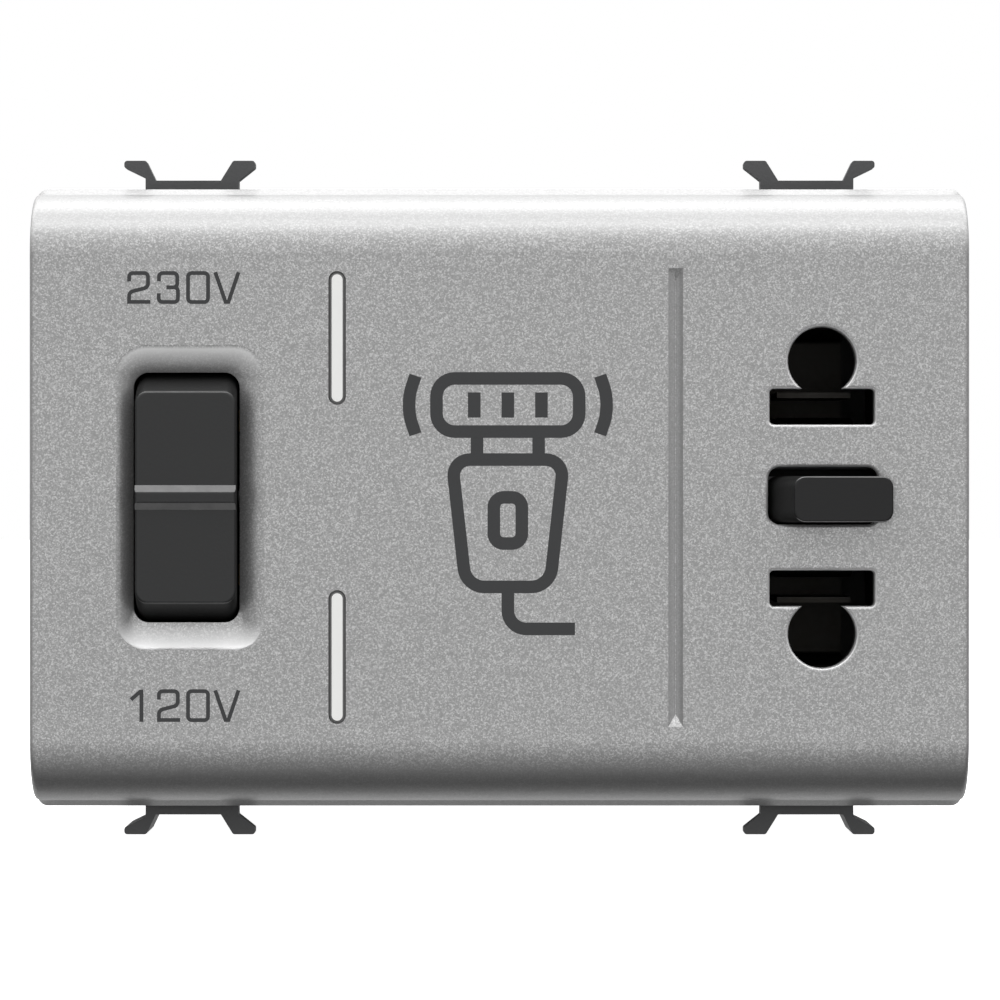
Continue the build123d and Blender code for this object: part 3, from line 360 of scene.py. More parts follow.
# The plunger's coil is wound from bright hard-drawn spring steel wire.
# Drawing leaves very fine lines along the wire.
spring_steel = finish_from(
    "spring_steel",
    rolled_metal,
    {
        "Colour": (0.58, 0.57, 0.55, 1),
        "Dull Colour": (0.36, 0.34, 0.31, 1),
        "Streak Scale": 9000,
        "Base Roughness": 0.16,
    },
    bump_height=0.006 * mm,
    shader_values={"Metallic": 1.0},
)
dress(spring_steel, "plunger_spring")

# The lever's leaf is a strip of the same steel, bent to a foot, a stem and a sprung tongue.
# The foot stands on the socket block and the tip lies under the lever, so the tongue bends as the
# lever is pushed in.
leaf_line = [(17.3, 0.75), (15.7, 0.75), (15.7, -1.2), (20.5, -2.35), (21.3, -2.15)]
leaf_width = 2.4 * mm
leaf_thickness = 0.2 * mm
leaf_bend = 0.35 * mm
shortest_run = 0.4 * mm
cuts_in_run = 11
bm = bmesh.new()
line = [bm.verts.new((x * mm, y * mm, -leaf_width / 2)) for x, y in leaf_line]
for start, end in zip(line, line[1:]):
    bm.edges.new((start, end))
bmesh.ops.bevel(
    bm,
    geom=line[1:-1],
    offset=leaf_bend,
    offset_type="OFFSET",
    segments=6,
    profile=0.5,
    affect="VERTICES",
    material=-1,
)
runs = [edge for edge in bm.edges if edge.calc_length() > shortest_run]
bmesh.ops.subdivide_edges(bm, edges=runs, cuts=cuts_in_run)
raised = bmesh.ops.extrude_edge_only(bm, edges=bm.edges[:])["geom"]
raised = [part for part in raised if isinstance(part, bmesh.types.BMVert)]
bmesh.ops.translate(bm, verts=raised, vec=(0, 0, leaf_width))
bmesh.ops.recalc_face_normals(bm, faces=bm.faces[:])
leaf_mesh = bpy.data.meshes.new("lever_leaf")
bm.to_mesh(leaf_mesh)
bm.free()
leaf = bpy.data.objects.new("lever_leaf", leaf_mesh)
bpy.context.collection.objects.link(leaf)
strip = leaf.modifiers.new("strip thickness", "SOLIDIFY")
strip.thickness = leaf_thickness
strip.offset = 0.0
strip.use_even_offset = True
bpy.context.view_layer.objects.active = leaf
bpy.ops.object.modifier_apply(modifier=strip.name)
leaf_mesh.materials.append(spring_steel)
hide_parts("lever_spring")
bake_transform(leaf)

# The pin contacts and the microswitch pins are tinned brass strip.
# The contacts lie deep in the openings. The tin is kept dull, and its colour is painted nearly
# black as the shade there, with a trace of the yellow of the brass.
tinned_brass = finish_from(
    "tinned_brass",
    rolled_metal,
    {
        "Colour": (0.05, 0.048, 0.045, 1),
        "Dull Colour": (0.04, 0.036, 0.03, 1),
        "Streak Scale": 4000,
        "Base Roughness": 0.32,
    },
    bump_height=0.01 * mm,
    shader_values={"Metallic": 1.0},
)
dress(tinned_brass, "upper_contact", "lower_contact", "microswitch_terminals")

# The indicator board is punched from brown paper laminate.
# The paper shows as a fine cloudy grain under the resin.
board_laminate = finish_from(
    "board_laminate",
    moulded_grain,
    {
        "Colour": (0.24, 0.13, 0.045, 1),
        "Grain Scale": 1500,
        "Mottle": 0.6,
        "Base Roughness": 0.38,
    },
    bump_height=0.02 * mm,
)
dress(board_laminate, "indicator_board")

# The two lamps are cast in clear resin, slightly milky so that the light spreads.
# They stand on the board right behind the light guides.
lamp_resin = finish_from(
    "lamp_resin",
    moulded_grain,
    {
        "Colour": (0.80, 0.80, 0.76, 1),
        "Grain Scale": 900,
        "Mottle": 0.08,
        "Base Roughness": 0.06,
    },
    bump_height=0.005 * mm,
    shader_values={"Transmission Weight": 0.45, "IOR": 1.5},
)
dress(lamp_resin, "upper_led", "lower_led")


# Each lamp has a series resistor, dipped in beige coat with four colour bands.
# Its tinned leads go down into the board.
def grey(level):
    """Opaque colour with the same level in all three parts."""
    return (level, level, level, 1)


resistor_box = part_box("upper_resistor")
resistor_low, resistor_high = resistor_box[0][2], resistor_box[1][2]
lead_tin = (0.42, 0.41, 0.38, 1)
beige = (0.55, 0.43, 0.26, 1)
band_colours = [
    (0.00, lead_tin),
    (0.18, beige),
    (0.30, (0.16, 0.05, 0.015, 1)),
    (0.36, beige),
    (0.44, grey(0.01)),
    (0.50, beige),
    (0.58, (0.55, 0.16, 0.02, 1)),
    (0.64, beige),
    (0.72, (0.55, 0.38, 0.08, 1)),
    (0.78, beige),
    (0.83, lead_tin),
]
resistor_coat, tree, shader = start_material("resistor_coat")
link = tree.links.new
coords = place(tree, "ShaderNodeTexCoord").outputs["Object"]
height = place(tree, "ShaderNodeSeparateXYZ")
either_side = place(tree, "ShaderNodeMath", operation="ABSOLUTE")
along = place(tree, "ShaderNodeMapRange", {"From Min": resistor_low, "From Max": resistor_high})
bands = place(tree, "ShaderNodeValToRGB")
bands.color_ramp.interpolation = "CONSTANT"
fill_ramp(bands, band_colours)
dips = place(tree, "ShaderNodeTexNoise", {"Scale": 1800.0, "Detail": 3.0})
gloss = place(tree, "ShaderNodeMapRange", {"To Min": 0.3, "To Max": 0.5})
relief = place(tree, "ShaderNodeBump", {"Strength": 0.4, "Distance": 0.04 * mm})
link(coords, height.inputs["Vector"])
link(height.outputs["Z"], either_side.inputs[0])
link(either_side.outputs[0], along.inputs["Value"])
link(along.outputs["Result"], bands.inputs["Fac"])
link(bands.outputs["Color"], shader.inputs["Base Color"])
link(coords, dips.inputs["Vector"])
link(dips.outputs["Fac"], gloss.inputs["Value"])
link(gloss.outputs["Result"], shader.inputs["Roughness"])
link(dips.outputs["Fac"], relief.inputs["Height"])
link(relief.outputs["Normal"], shader.inputs["Normal"])
dress(resistor_coat, "upper_resistor", "lower_resistor")

# The light guides are clear bars that end flush in the cover.
# Their frosted front is painted with a faint glow of its own, though no lamp is lit, while the
# polished bevel round it and the sides are painted dark grey, a painted shade for the dark slot
# seen through the clear plastic.
clear_plastic, tree, shader = start_material(
    "clear_plastic",
    {"IOR": 1.49, "Emission Strength": 0.17},
)
link = tree.links.new
facing = place(tree, "ShaderNodeNewGeometry").outputs["Normal"]
forward = place(tree, "ShaderNodeVectorMath", {1: (0.0, -1.0, 0.0)}, operation="DOT_PRODUCT")
frosted = place(tree, "ShaderNodeMapRange", {"From Min": 0.93, "From Max": 0.97})
coords = place(tree, "ShaderNodeTexCoord").outputs["Object"]
frost = place(tree, "ShaderNodeTexNoise", {"Scale": 3500.0, "Detail": 3.0})
milky = place(tree, "ShaderNodeMapRange", {"To Min": 0.9, "To Max": 1.0})
frost_and_glow_mask = place(tree, "ShaderNodeMath", operation="MULTIPLY")
frost_and_side_shade = place(tree, "ShaderNodeValToRGB")
fill_ramp(frost_and_side_shade, [(0.0, grey(0.22)), (1.0, (0.90, 0.90, 0.88, 1))])
polish = place(tree, "ShaderNodeMapRange", {"To Min": 0.12, "To Max": 0.42})
link(facing, forward.inputs[0])
link(forward.outputs["Value"], frosted.inputs["Value"])
link(coords, frost.inputs["Vector"])
link(frost.outputs["Fac"], milky.inputs["Value"])
link(frosted.outputs["Result"], frost_and_glow_mask.inputs[0])
link(milky.outputs["Result"], frost_and_glow_mask.inputs[1])
link(frost_and_glow_mask.outputs[0], frost_and_side_shade.inputs["Fac"])
link(frost_and_side_shade.outputs["Color"], shader.inputs["Base Color"])
# Painted glow on the frosted front, though no lamp is lit.
link(frost_and_glow_mask.outputs[0], shader.inputs["Emission Color"])
link(frost_and_glow_mask.outputs[0], polish.inputs["Value"])
link(polish.outputs["Result"], shader.inputs["Roughness"])
dress(clear_plastic, "upper_light_guide", "lower_light_guide")

# The selector rocker is moulded in black plastic with a satin face and hooks into the selector
# body. Fingers slide up and down over it, so the face has only a very fine grain.
# Its upper and lower edges and the rib carry painted highlights, and its sides are dull and carry
# painted deep-black shade.
edge_highlights = bpy.data.node_groups.new("Painted Edge Highlights", "ShaderNodeTree")
for socket in ("Face", "Face Slope", "Reach", "Patch Scale"):
    edge_highlights.interface.new_socket(socket, in_out="INPUT", socket_type="NodeSocketFloat")
for socket in ("Mask", "Face Mask"):
    edge_highlights.interface.new_socket(socket, in_out="OUTPUT", socket_type="NodeSocketFloat")
given = place(edge_highlights, "NodeGroupInput").outputs
shown = place(edge_highlights, "NodeGroupOutput").inputs
link = edge_highlights.links.new
coords = place(edge_highlights, "ShaderNodeTexCoord").outputs
either_way = place(edge_highlights, "ShaderNodeVectorMath", operation="ABSOLUTE")
split = place(edge_highlights, "ShaderNodeSeparateXYZ")
slant = place(edge_highlights, "ShaderNodeMath", operation="MINIMUM")
rounded = place(edge_highlights, "ShaderNodeMapRange", {"From Min": 0.475, "From Max": 0.625})
in_front = place(edge_highlights, "ShaderNodeMapRange", {"From Min": 0.35, "From Max": 0.65})
place_on_piece = place(edge_highlights, "ShaderNodeSeparateXYZ")
face_here = place(edge_highlights, "ShaderNodeMath", operation="MULTIPLY_ADD")
depth = place(edge_highlights, "ShaderNodeMath", operation="SUBTRACT")
in_reach = place(edge_highlights, "ShaderNodeMath", operation="LESS_THAN")
patches = place(edge_highlights, "ShaderNodeTexNoise", {"Detail": 3.0})
uneven = place(edge_highlights, "ShaderNodeMapRange", {"To Min": 0.6, "To Max": 1.2})
patchy = place(edge_highlights, "ShaderNodeMath", operation="MULTIPLY", use_clamp=True)
# Mask of the painted highlights: slanted faces near the front, broken up in patches.
highlight_mask = place(edge_highlights, "ShaderNodeMath", operation="MULTIPLY")
link(coords["Normal"], either_way.inputs[0])
link(either_way.outputs["Vector"], split.inputs["Vector"])
link(split.outputs["Y"], slant.inputs[0])
link(split.outputs["Z"], slant.inputs[1])
link(slant.outputs[0], rounded.inputs["Value"])
link(split.outputs["Y"], in_front.inputs["Value"])
link(in_front.outputs["Result"], shown["Face Mask"])
link(coords["Object"], place_on_piece.inputs["Vector"])
link(place_on_piece.outputs["Y"], depth.inputs[0])
link(place_on_piece.outputs["X"], face_here.inputs[0])
link(given["Face Slope"], face_here.inputs[1])
link(given["Face"], face_here.inputs[2])
link(face_here.outputs[0], depth.inputs[1])
link(depth.outputs[0], in_reach.inputs[0])
link(given["Reach"], in_reach.inputs[1])
link(coords["Object"], patches.inputs["Vector"])
link(given["Patch Scale"], patches.inputs["Scale"])
link(patches.outputs["Fac"], uneven.inputs["Value"])
link(rounded.outputs["Result"], patchy.inputs[0])
link(uneven.outputs["Result"], patchy.inputs[1])
link(patchy.outputs[0], highlight_mask.inputs[0])
link(in_reach.outputs[0], highlight_mask.inputs[1])
link(highlight_mask.outputs[0], shown["Mask"])

patch_scale = 900.0
# Painted shade: the near-black colour given to every face that does not face the front.
side_shade_colour = grey(0.002)
side_roughness = 0.85


def paint_edge_highlights(material, face, slope, reach, edge_highlight_colour, face_gloss):
    """Paints highlights on the upper and lower front edges, and dark shade on the dull sides."""
    tree = material.node_tree
    shader = tree.nodes["Principled BSDF"]
    link = tree.links.new
    shader.inputs["Specular IOR Level"].default_value = face_gloss
    face_colour = shader.inputs["Base Color"].links[0].from_socket
    face_roughness = shader.inputs["Roughness"].links[0].from_socket
    edge_paint = place(
        tree,
        "ShaderNodeGroup",
        {"Face": face, "Face Slope": slope, "Reach": reach, "Patch Scale": patch_scale},
        node_tree=edge_highlights,
    )
    # Painted shade darkens the sides, and painted highlights make the edges paler.
    side_shaded = place(tree, "ShaderNodeMix", {6: side_shade_colour}, data_type="RGBA")
    marked_tone = place(tree, "ShaderNodeMix", {7: edge_highlight_colour}, data_type="RGBA")
    dulled = place(tree, "ShaderNodeMix", {2: side_roughness}, data_type="FLOAT")
    link(edge_paint.outputs["Face Mask"], side_shaded.inputs[0])
    link(face_colour, side_shaded.inputs[7])
    link(edge_paint.outputs["Mask"], marked_tone.inputs[0])
    link(side_shaded.outputs[2], marked_tone.inputs[6])
    link(marked_tone.outputs[2], shader.inputs["Base Color"])
    link(edge_paint.outputs["Face Mask"], dulled.inputs[0])
    link(face_roughness, dulled.inputs[3])
    link(dulled.outputs[0], shader.inputs["Roughness"])


black_plastic = finish_from(
    "black_plastic",
    moulded_grain,
    {
        "Colour": (0.0175, 0.018, 0.0185, 1),
        "Grain Scale": 5200,
        "Mottle": 0.2,
        "Base Roughness": 0.12,
    },
    bump_height=0.02 * mm,
)
# Painted highlights on the rocker's edges and rib, and painted shade on its sides.
paint_edge_highlights(
    black_plastic,
    face=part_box("rocker")[0][1],
    slope=0.0,
    reach=0.64 * mm,
    edge_highlight_colour=grey(0.20),
    face_gloss=0.5,
)
dress(black_plastic, "rocker")

# The sensing lever turns on a pin in the socket block. Its black is a darker, shaded copy of the
# rocker's: painted shade. Its sloping face is duller than the rocker's, and its edges carry
# brighter painted highlights.
cap_left = 21.01 * mm
cap_slope = 0.2045
lever_plastic = finish_from(
    "lever_plastic",
    moulded_grain,
    {
        "Colour": (0.008, 0.008, 0.0085, 1),
        "Grain Scale": 3800,
        "Mottle": 0.3,
        "Base Roughness": 0.16,
    },
    bump_height=0.02 * mm,
)
cap_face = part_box("sensing_lever")[0][1] - cap_left * cap_slope
# Brighter painted highlights on the lever's edges, and painted shade on its sides.
paint_edge_highlights(
    lever_plastic,
    face=cap_face,
    slope=cap_slope,
    reach=0.2 * mm,
    edge_highlight_colour=grey(0.42),
    face_gloss=0.4,
)
dress(lever_plastic, "sensing_lever")

# The front cover is moulded in black plastic and sprayed with silver lacquer. Deep inside its
# openings the colour is a painted near-black shade. Metal flakes in the lacquer catch the light one
# by one on the flat front. Painted highlights and painted shade in the lacquer's colour stand in
# for fine roundings of the dish, the openings and the groove.
flake_lacquer, given, shown = surface_group(
    "Flake Lacquer",
    [
        ("Colour", "NodeSocketColor"),
        ("Flake Scale", "NodeSocketFloat"),
        ("Sparkle", "NodeSocketFloat"),
        ("Base Roughness", "NodeSocketFloat"),
    ],
)
link = flake_lacquer.links.new
surface = place(flake_lacquer, "ShaderNodeTexCoord").outputs
coords = surface["Object"]
leaning = place(flake_lacquer, "ShaderNodeSeparateXYZ")
flat_on = place(
    flake_lacquer,
    "ShaderNodeMapRange",
    {"From Min": -0.8, "From Max": -0.98, "To Min": 0.3, "To Max": 1.0},
)
showing = place(flake_lacquer, "ShaderNodeMath", operation="MULTIPLY")
flakes = place(flake_lacquer, "ShaderNodeTexVoronoi", feature="F1")
each_flake = place(flake_lacquer, "ShaderNodeSeparateColor")
few_bright = place(flake_lacquer, "ShaderNodeMath", {1: 2.0}, operation="POWER")
mean_of_squares = 1 / 3
off_middle = place(flake_lacquer, "ShaderNodeMath", {1: mean_of_squares}, operation="SUBTRACT")
shade = place(flake_lacquer, "ShaderNodeMath", {2: 1.0}, operation="MULTIPLY_ADD")
tinted = place(flake_lacquer, "ShaderNodeVectorMath", operation="SCALE")
flake_roughness = 0.1
rougher = place(flake_lacquer, "ShaderNodeMath", {1: flake_roughness}, operation="MULTIPLY_ADD")
spray = place(flake_lacquer, "ShaderNodeTexNoise", {"Scale": 7000.0, "Detail": 2.0})
link(coords, flakes.inputs["Vector"])
link(given["Flake Scale"], flakes.inputs["Scale"])
link(flakes.outputs["Color"], each_flake.inputs["Color"])
link(each_flake.outputs["Red"], few_bright.inputs[0])
link(few_bright.outputs[0], off_middle.inputs[0])
link(off_middle.outputs[0], shade.inputs[0])
link(surface["Normal"], leaning.inputs["Vector"])
link(leaning.outputs["Y"], flat_on.inputs["Value"])
link(given["Sparkle"], showing.inputs[0])
link(flat_on.outputs["Result"], showing.inputs[1])
link(showing.outputs[0], shade.inputs[1])
link(given["Colour"], tinted.inputs["Vector"])
link(shade.outputs[0], tinted.inputs["Scale"])
link(each_flake.outputs["Green"], rougher.inputs[0])
link(given["Base Roughness"], rougher.inputs[2])
link(coords, spray.inputs["Vector"])
link(tinted.outputs["Vector"], shown["Colour"])
link(rougher.outputs[0], shown["Roughness"])
link(spray.outputs["Fac"], shown["Height"])

cover_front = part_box("front_cover")[0][1]
cover_lacquer = finish_from(
    "cover_lacquer",
    flake_lacquer,
    {
        "Colour": grey(0.50),
        "Flake Scale": 11000,
        "Sparkle": 0.68,
        "Base Roughness": 0.36,
    },
    bump_height=0.01 * mm,
)
tree = cover_lacquer.node_tree
link = tree.links.new
shader = tree.nodes["Principled BSDF"]
lacquer_colour = shader.inputs["Base Color"].links[0].from_socket
coords = place(tree, "ShaderNodeTexCoord").outputs["Object"]
split = place(tree, "ShaderNodeSeparateXYZ")
either_way = place(tree, "ShaderNodeVectorMath", operation="ABSOLUTE")
apart = place(tree, "ShaderNodeSeparateXYZ")
link(coords, split.inputs["Vector"])
link(coords, either_way.inputs[0])
link(either_way.outputs["Vector"], apart.inputs["Vector"])

# Deeper than about a millimetre into the openings the lacquer gives way to painted shade.
# The long edges and the end walls are turned outwards, so they keep the lacquer all over.
recess_shade_start = cover_front + 0.9 * mm
recess_shade_full = cover_front + 1.3 * mm
edges_start, edges_full = 17.2 * mm, 17.6 * mm
walls_start, walls_full = 32.8 * mm, 33.1 * mm
near_front = place(tree, "ShaderNodeMapRange", {"From Min": recess_shade_full, "From Max": recess_shade_start})
long_edges = place(tree, "ShaderNodeMapRange", {"From Min": edges_start, "From Max": edges_full})
end_walls = place(tree, "ShaderNodeMapRange", {"From Min": walls_start, "From Max": walls_full})
outside = place(tree, "ShaderNodeMath", operation="MAXIMUM")
outside_recess_shade = place(tree, "ShaderNodeMath", operation="MAXIMUM")
link(split.outputs["Y"], near_front.inputs["Value"])
link(apart.outputs["Z"], long_edges.inputs["Value"])
link(apart.outputs["X"], end_walls.inputs["Value"])
link(long_edges.outputs["Result"], outside.inputs[0])
link(end_walls.outputs["Result"], outside.inputs[1])
link(near_front.outputs["Result"], outside_recess_shade.inputs[0])
link(outside.outputs[0], outside_recess_shade.inputs[1])

# Painted highlights: the two ends of the dish and the rounded edges of the pin openings and the
# lever slot are painted paler.
rocker_middle = -22.4 * mm
pins_middle = 23.5 * mm
half_width = 6.0 * mm
openings_end = 14.0 * mm
round_start = cover_front + 0.01 * mm
round_full = cover_front + 0.06 * mm
ends_start, ends_full = 8.8 * mm, 10.7 * mm
dish_ends = place(tree, "ShaderNodeMapRange", {"From Min": ends_start, "From Max": ends_full})
by_rocker = place(tree, "ShaderNodeMath", {1: rocker_middle, 2: half_width}, operation="COMPARE")
by_pins = place(tree, "ShaderNodeMath", {1: pins_middle, 2: half_width}, operation="COMPARE")
below_front = place(tree, "ShaderNodeMapRange", {"From Min": round_start, "From Max": round_full})
short_of_edges = place(tree, "ShaderNodeMath", {1: openings_end}, operation="LESS_THAN")
inside_edges = place(tree, "ShaderNodeMath", operation="MULTIPLY")
dish_highlight = place(tree, "ShaderNodeMath", operation="MULTIPLY")
highlight_places = place(tree, "ShaderNodeMath", operation="MAXIMUM")
painted_highlight = place(tree, "ShaderNodeMath", operation="MULTIPLY")
link(apart.outputs["Z"], dish_ends.inputs["Value"])
link(split.outputs["X"], by_rocker.inputs[0])
link(split.outputs["X"], by_pins.inputs[0])
link(split.outputs["Y"], below_front.inputs["Value"])
link(apart.outputs["Z"], short_of_edges.inputs[0])
link(below_front.outputs["Result"], inside_edges.inputs[0])
link(short_of_edges.outputs[0], inside_edges.inputs[1])
link(dish_ends.outputs["Result"], dish_highlight.inputs[0])
link(by_rocker.outputs[0], dish_highlight.inputs[1])
link(dish_highlight.outputs[0], highlight_places.inputs[0])
link(by_pins.outputs[0], highlight_places.inputs[1])
link(highlight_places.outputs[0], painted_highlight.inputs[0])
link(inside_edges.outputs[0], painted_highlight.inputs[1])

# Across the long groove, painted light on the left slope and painted shade on the right one.
# The levels are shares of its colour from the left edge of the groove to the right one.
groove_left = 12.05 * mm
groove_right = 13.15 * mm
groove_end = 16.1 * mm
groove_levels = [
    (0.0, 1.0),
    (0.02, 1.16),
    (0.42, 1.28),
    (0.47, 0.96),
    (0.53, 0.96),
    (0.58, 1.14),
    (0.8, 0.9),
    (0.92, 0.85),
    (1.0, 1.0),
]
groove_range = {"From Min": groove_left, "From Max": groove_right}
across_groove = place(tree, "ShaderNodeMapRange", groove_range)
groove_shading = place(tree, "ShaderNodeValToRGB")
fill_ramp(groove_shading, [(across, grey(level)) for across, level in groove_levels])
along_groove = place(tree, "ShaderNodeMath", {1: groove_end}, operation="LESS_THAN")
in_groove = place(tree, "ShaderNodeMix", data_type="RGBA", blend_type="MULTIPLY")
link(split.outputs["X"], across_groove.inputs["Value"])
link(across_groove.outputs["Result"], groove_shading.inputs["Fac"])
link(apart.outputs["Z"], along_groove.inputs[0])
link(along_groove.outputs[0], in_groove.inputs[0])
link(lacquer_colour, in_groove.inputs[6])
link(groove_shading.outputs["Color"], in_groove.inputs[7])

# Inside the openings the painted shade is near black, and the metal of the flakes is missing.
# The painted highlights lie over the plain coat and over the painted shading in the groove.
recess_shade_colour = grey(0.03)
lacquer_highlight_colour = grey(0.94)
metal_share = 0.75
coat_or_highlight = place(tree, "ShaderNodeMix", {7: lacquer_highlight_colour}, data_type="RGBA")
recess_shade_or_lacquer = place(tree, "ShaderNodeMix", {6: recess_shade_colour}, data_type="RGBA")
metal = place(tree, "ShaderNodeMath", {1: metal_share}, operation="MULTIPLY")
link(painted_highlight.outputs[0], coat_or_highlight.inputs[0])
link(in_groove.outputs[2], coat_or_highlight.inputs[6])
link(outside_recess_shade.outputs[0], recess_shade_or_lacquer.inputs[0])
link(coat_or_highlight.outputs[2], recess_shade_or_lacquer.inputs[7])
link(recess_shade_or_lacquer.outputs[2], shader.inputs["Base Color"])
link(outside_recess_shade.outputs[0], metal.inputs[0])
link(metal.outputs[0], shader.inputs["Metallic"])
dress(cover_lacquer, "front_cover")

# The two voltages beside the rocker are pad-printed in dark grey ink.
# Each figure is one or two strokes of even width, drawn as a wire that is raised by the thickness
# of the ink and given its width.
ink_height = 0.012 * mm
ink_bite = 0.2 * ink_height
coat_step = 0.1 * ink_height
ink_layer = 1.25 * ink_height
printing_ink = finish_from(
    "printing_ink",
    moulded_grain,
    {
        "Colour": (0.045, 0.046, 0.048, 1),
        "Grain Scale": 5000,
        "Mottle": 0.15,
        "Base Roughness": 0.5,
    },
    bump_height=0.005 * mm,
)


def print_strokes(name, strokes, middle, line_width, corner):
    """Printed layer on the cover made of open or closed strokes, in millimetres about its middle.

    Each stroke is set a little deeper than the one before, so that no two faces lie in one plane.
    """
    bm = bmesh.new()
    for coat, (closed, points) in enumerate(strokes):
        sunk = cover_front + ink_bite + coat_step * coat
        line = [bm.verts.new((middle[0] + x * mm, sunk, middle[1] + z * mm)) for x, z in points]
        for start, end in zip(line, line[1:] + line[:1] if closed else line[1:]):
            bm.edges.new((start, end))
        bends = line if closed else line[1:-1]
        if corner and bends:
            bmesh.ops.bevel(
                bm,
                geom=bends,
                offset=corner * mm,
                offset_type="OFFSET",
                segments=8,
                profile=0.5,
                affect="VERTICES",
                material=-1,
            )
    raised = bmesh.ops.extrude_edge_only(bm, edges=bm.edges[:])["geom"]
    raised = [part for part in raised if isinstance(part, bmesh.types.BMVert)]
    bmesh.ops.translate(bm, verts=raised, vec=(0, -ink_layer, 0))
    bmesh.ops.recalc_face_normals(bm, faces=bm.faces[:])
    mesh = bpy.data.meshes.new(name)
    bm.to_mesh(mesh)
    bm.free()
    layer = bpy.data.objects.new(name, mesh)
    bpy.context.collection.objects.link(layer)
    width = layer.modifiers.new("line width", "SOLIDIFY")
    width.thickness = line_width * mm
    width.offset = 0.0
    width.use_even_offset = True
    mesh.materials.append(printing_ink)
    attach(layer, "base")


figure_pitch = 2.13
figure_line = 0.275
figure_corner = 0.27
figures = {
    "0": [(True, [(-0.70, -1.05), (0.73, -1.05), (0.73, 1.02), (-0.70, 1.02)])],
    "1": [(False, [(-0.52, 0.41), (0.17, 1.01)]), (False, [(0.23, 1.13), (0.23, -1.17)])],
    "2": [
        (
            False,
            [
                (-0.65, 0.42),
                (-0.65, 1.02),
                (0.70, 1.02),
                (0.70, 0.0),
                (-0.65, -0.345),
                (-0.65, -1.17),
            ],
        ),
        (False, [(-0.785, -1.04), (0.87, -1.04)]),
    ],
    "3": [
        (False, [(-0.645, 0.43), (-0.645, 1.02), (0.66, 1.02), (0.66, 0.0), (-0.11, 0.0)]),
        (False, [(-0.11, 0.0), (0.71, 0.0), (0.71, -1.05), (-0.665, -1.05), (-0.665, -0.42)]),
    ],
    "V": [(False, [(-0.885, 1.08), (-0.15, -1.04), (0.06, -1.04), (0.78, 1.08)])],
}


def print_voltage(name, words, middle):
    """Row of figures, each on its own place of the pitch."""
    row_middle = (len(words) - 1) / 2
    for place_in_row, figure in enumerate(words):
        x = middle[0] + (place_in_row - row_middle) * figure_pitch * mm
        corner = 0.0 if figure in "1V" else figure_corner
        print_strokes(
            f"{name}_{place_in_row + 1}",
            figures[figure],
            (x, middle[1]),
            figure_line,
            corner,
        )


print_voltage("upper_voltage", "230V", (-22.62 * mm, 15.02 * mm))
print_voltage("lower_voltage", "120V", (-22.62 * mm, -14.86 * mm))

# The sign in the middle of the cover is printed in the same ink.
# It is a plain foil shaver: a head with three slots, a handle with a switch, a cord and two marks
# that show it humming.
sign_line = 0.9
sign_middle = (0.6 * mm, -0.39 * mm)
print_strokes(
    "shaver_sign_outline",
    [
        (True, [(-5.1, 5.1), (5.1, 5.1), (5.1, 8.9), (-5.1, 8.9)]),
        (True, [(-3.0, -6.0), (3.0, -6.0), (4.0, 3.1), (-4.0, 3.1)]),
        (False, [(0.0, -6.0), (0.0, -9.0), (4.8, -9.0)]),
        (False, [(-6.6, 4.9), (-7.3, 7.0), (-6.6, 9.1)]),
        (False, [(6.6, 4.9), (7.3, 7.0), (6.6, 9.1)]),
    ],
    sign_middle,
    sign_line,
    corner=1.3,
)
print_strokes(
    "shaver_sign_details",
    [
        (False, [(-2.4, 6.1), (-2.4, 7.9)]),
        (False, [(0.0, 6.1), (0.0, 7.9)]),
        (False, [(2.4, 6.1), (2.4, 7.9)]),
        (False, [(-2.2, 3.1), (-2.2, 5.1)]),
        (False, [(2.2, 3.1), (2.2, 5.1)]),
        (True, [(-1.0, -2.9), (1.0, -2.9), (1.0, 0.4), (-1.0, 0.4)]),
    ],
    sign_middle,
    sign_line,
    corner=0.7,
)

# The floor is a plain white sheet under the clips, wide enough for every view.
# It is seen as bright paper, and lights the part no more than the dark studio under it would.
floor_reach = 3.0
floor_bm = bmesh.new()
bmesh.ops.create_grid(floor_bm, x_segments=1, y_segments=1, size=floor_reach)
bmesh.ops.translate(floor_bm, verts=floor_bm.verts[:], vec=(0, 0, cad_box[0][2]))
floor_mesh = bpy.data.meshes.new("floor")
floor_bm.to_mesh(floor_mesh)
floor_bm.free()
floor = bpy.data.objects.new("floor", floor_mesh)
bpy.context.collection.objects.link(floor)
floor.visible_diffuse = False
floor.visible_glossy = False
floor.visible_shadow = False
paper, _, _ = start_material(
    "paper",
    {
        "Base Color": grey(0.9),
        "Roughness": 0.9,
        "Emission Color": grey(1.0),
        "Emission Strength": 1.0,
    },
)
floor_mesh.materials.append(paper)

# The studio is a tent of white cloth, lit from above and behind, with a dark table under it.
# Its brightness follows the angle round the part: grey in front, two lamp strips overhead, white
# behind, nearly black below, and dimmer to both sides. The tent itself is seen as plain white.
scene = bpy.context.scene
scene.view_settings.view_transform = "Standard"
tent = bpy.data.worlds.new("tent")
scene.world = tent
tent.use_nodes = True
tree = tent.node_tree
link = tree.links.new
tree.nodes.clear()
direction = place(tree, "ShaderNodeTexCoord").outputs["Generated"]
split = place(tree, "ShaderNodeSeparateXYZ")
forward = place(tree, "ShaderNodeMath", {1: -1.0}, operation="MULTIPLY")
round_part = place(tree, "ShaderNodeMath", operation="ARCTAN2")
turn = place(tree, "ShaderNodeMapRange", {"From Min": -pi, "From Max": pi})
brightness = place(tree, "ShaderNodeValToRGB")
side_power = 4.0
side_loss = 0.75
to_a_side = place(tree, "ShaderNodeMath", {1: side_power}, operation="POWER")
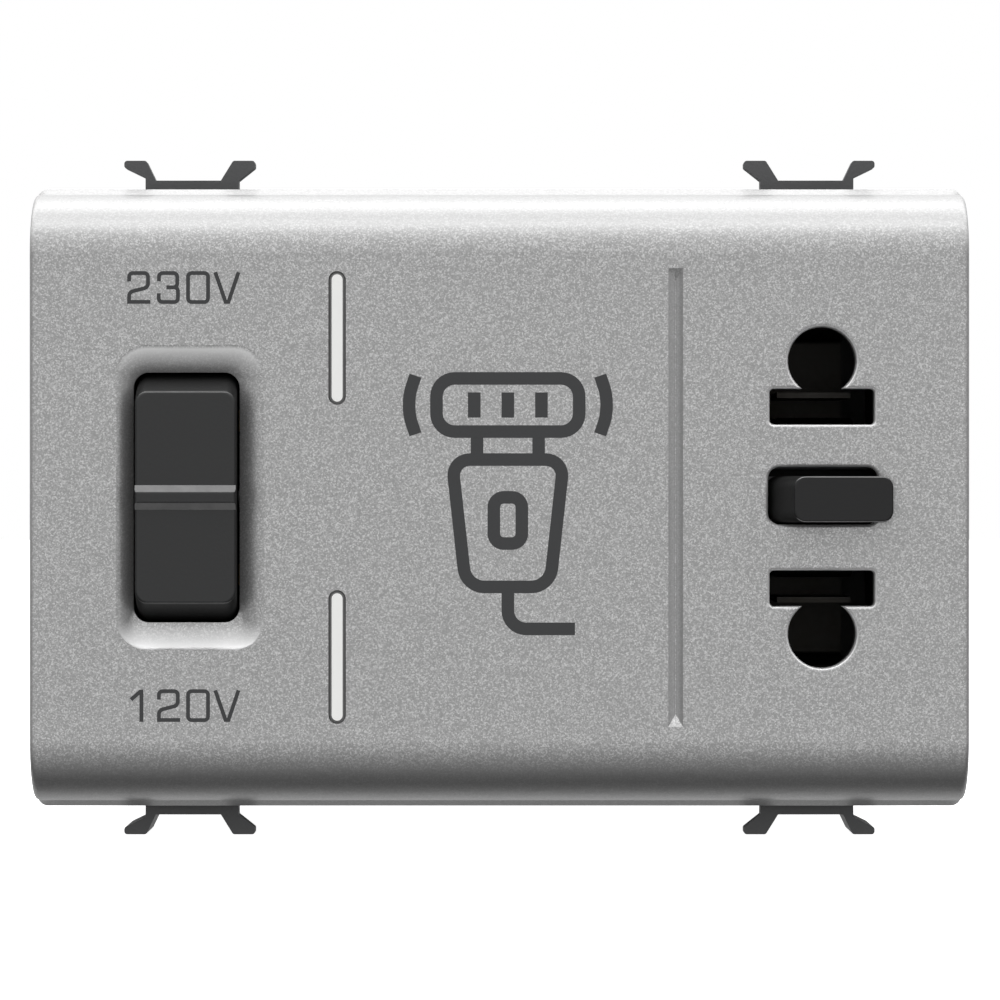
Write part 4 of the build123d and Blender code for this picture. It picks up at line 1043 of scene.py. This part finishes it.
beside = place(tree, "ShaderNodeMath", {1: -side_loss, 2: 1.0}, operation="MULTIPLY_ADD")
tent_levels = [
    (-180, 0.50),
    (-150, 0.75),
    (-140, 0.60),
    (-122, 0.14),
    (-105, 0.005),
    (-85, 0.05),
    (-60, 0.24),
    (-30, 0.46),
    (0, 0.77),
    (30, 1.00),
    (56, 1.05),
    (60, 1.10),
    (64, 2.55),
    (80, 2.55),
    (84, 1.25),
    (106, 1.30),
    (112, 3.20),
    (126, 3.20),
    (132, 1.50),
    (156, 1.15),
    (180, 0.50),
]
fill_ramp(brightness, [((angle + 180) / 360, grey(level)) for angle, level in tent_levels])
lighting = place(tree, "ShaderNodeBackground")
seen = place(tree, "ShaderNodeBackground", {"Color": grey(1.0), "Strength": 1.0})
camera_sees = place(tree, "ShaderNodeLightPath").outputs["Is Camera Ray"]
either = place(tree, "ShaderNodeMixShader")
output = place(tree, "ShaderNodeOutputWorld")
link(direction, split.inputs["Vector"])
link(split.outputs["Y"], forward.inputs[0])
link(split.outputs["Z"], round_part.inputs[0])
link(forward.outputs[0], round_part.inputs[1])
link(round_part.outputs[0], turn.inputs["Value"])
link(turn.outputs["Result"], brightness.inputs["Fac"])
link(split.outputs["X"], to_a_side.inputs[0])
link(to_a_side.outputs[0], beside.inputs[0])
link(brightness.outputs["Color"], lighting.inputs["Color"])
link(beside.outputs[0], lighting.inputs["Strength"])
link(camera_sees, either.inputs["Fac"])
link(lighting.outputs["Background"], either.inputs[1])
link(seen.outputs["Background"], either.inputs[2])
link(either.outputs["Shader"], output.inputs["Surface"])

# The camera stands straight in front of the part at its own height.
# It is about 400 mm from the cover and has a long lens, so the sides of the part hardly show.
photo_lens = bpy.data.cameras.new("camera")
photo_lens.lens = 201.5
photo_lens.sensor_width = 36.0
photo_lens.clip_start = 0.01
camera = bpy.data.objects.new("camera", photo_lens)
camera.location = (0.04 * mm, -407 * mm, -0.18 * mm)
camera.rotation_euler = (radians(90), 0, 0)
bpy.context.collection.objects.link(camera)
scene.camera = camera
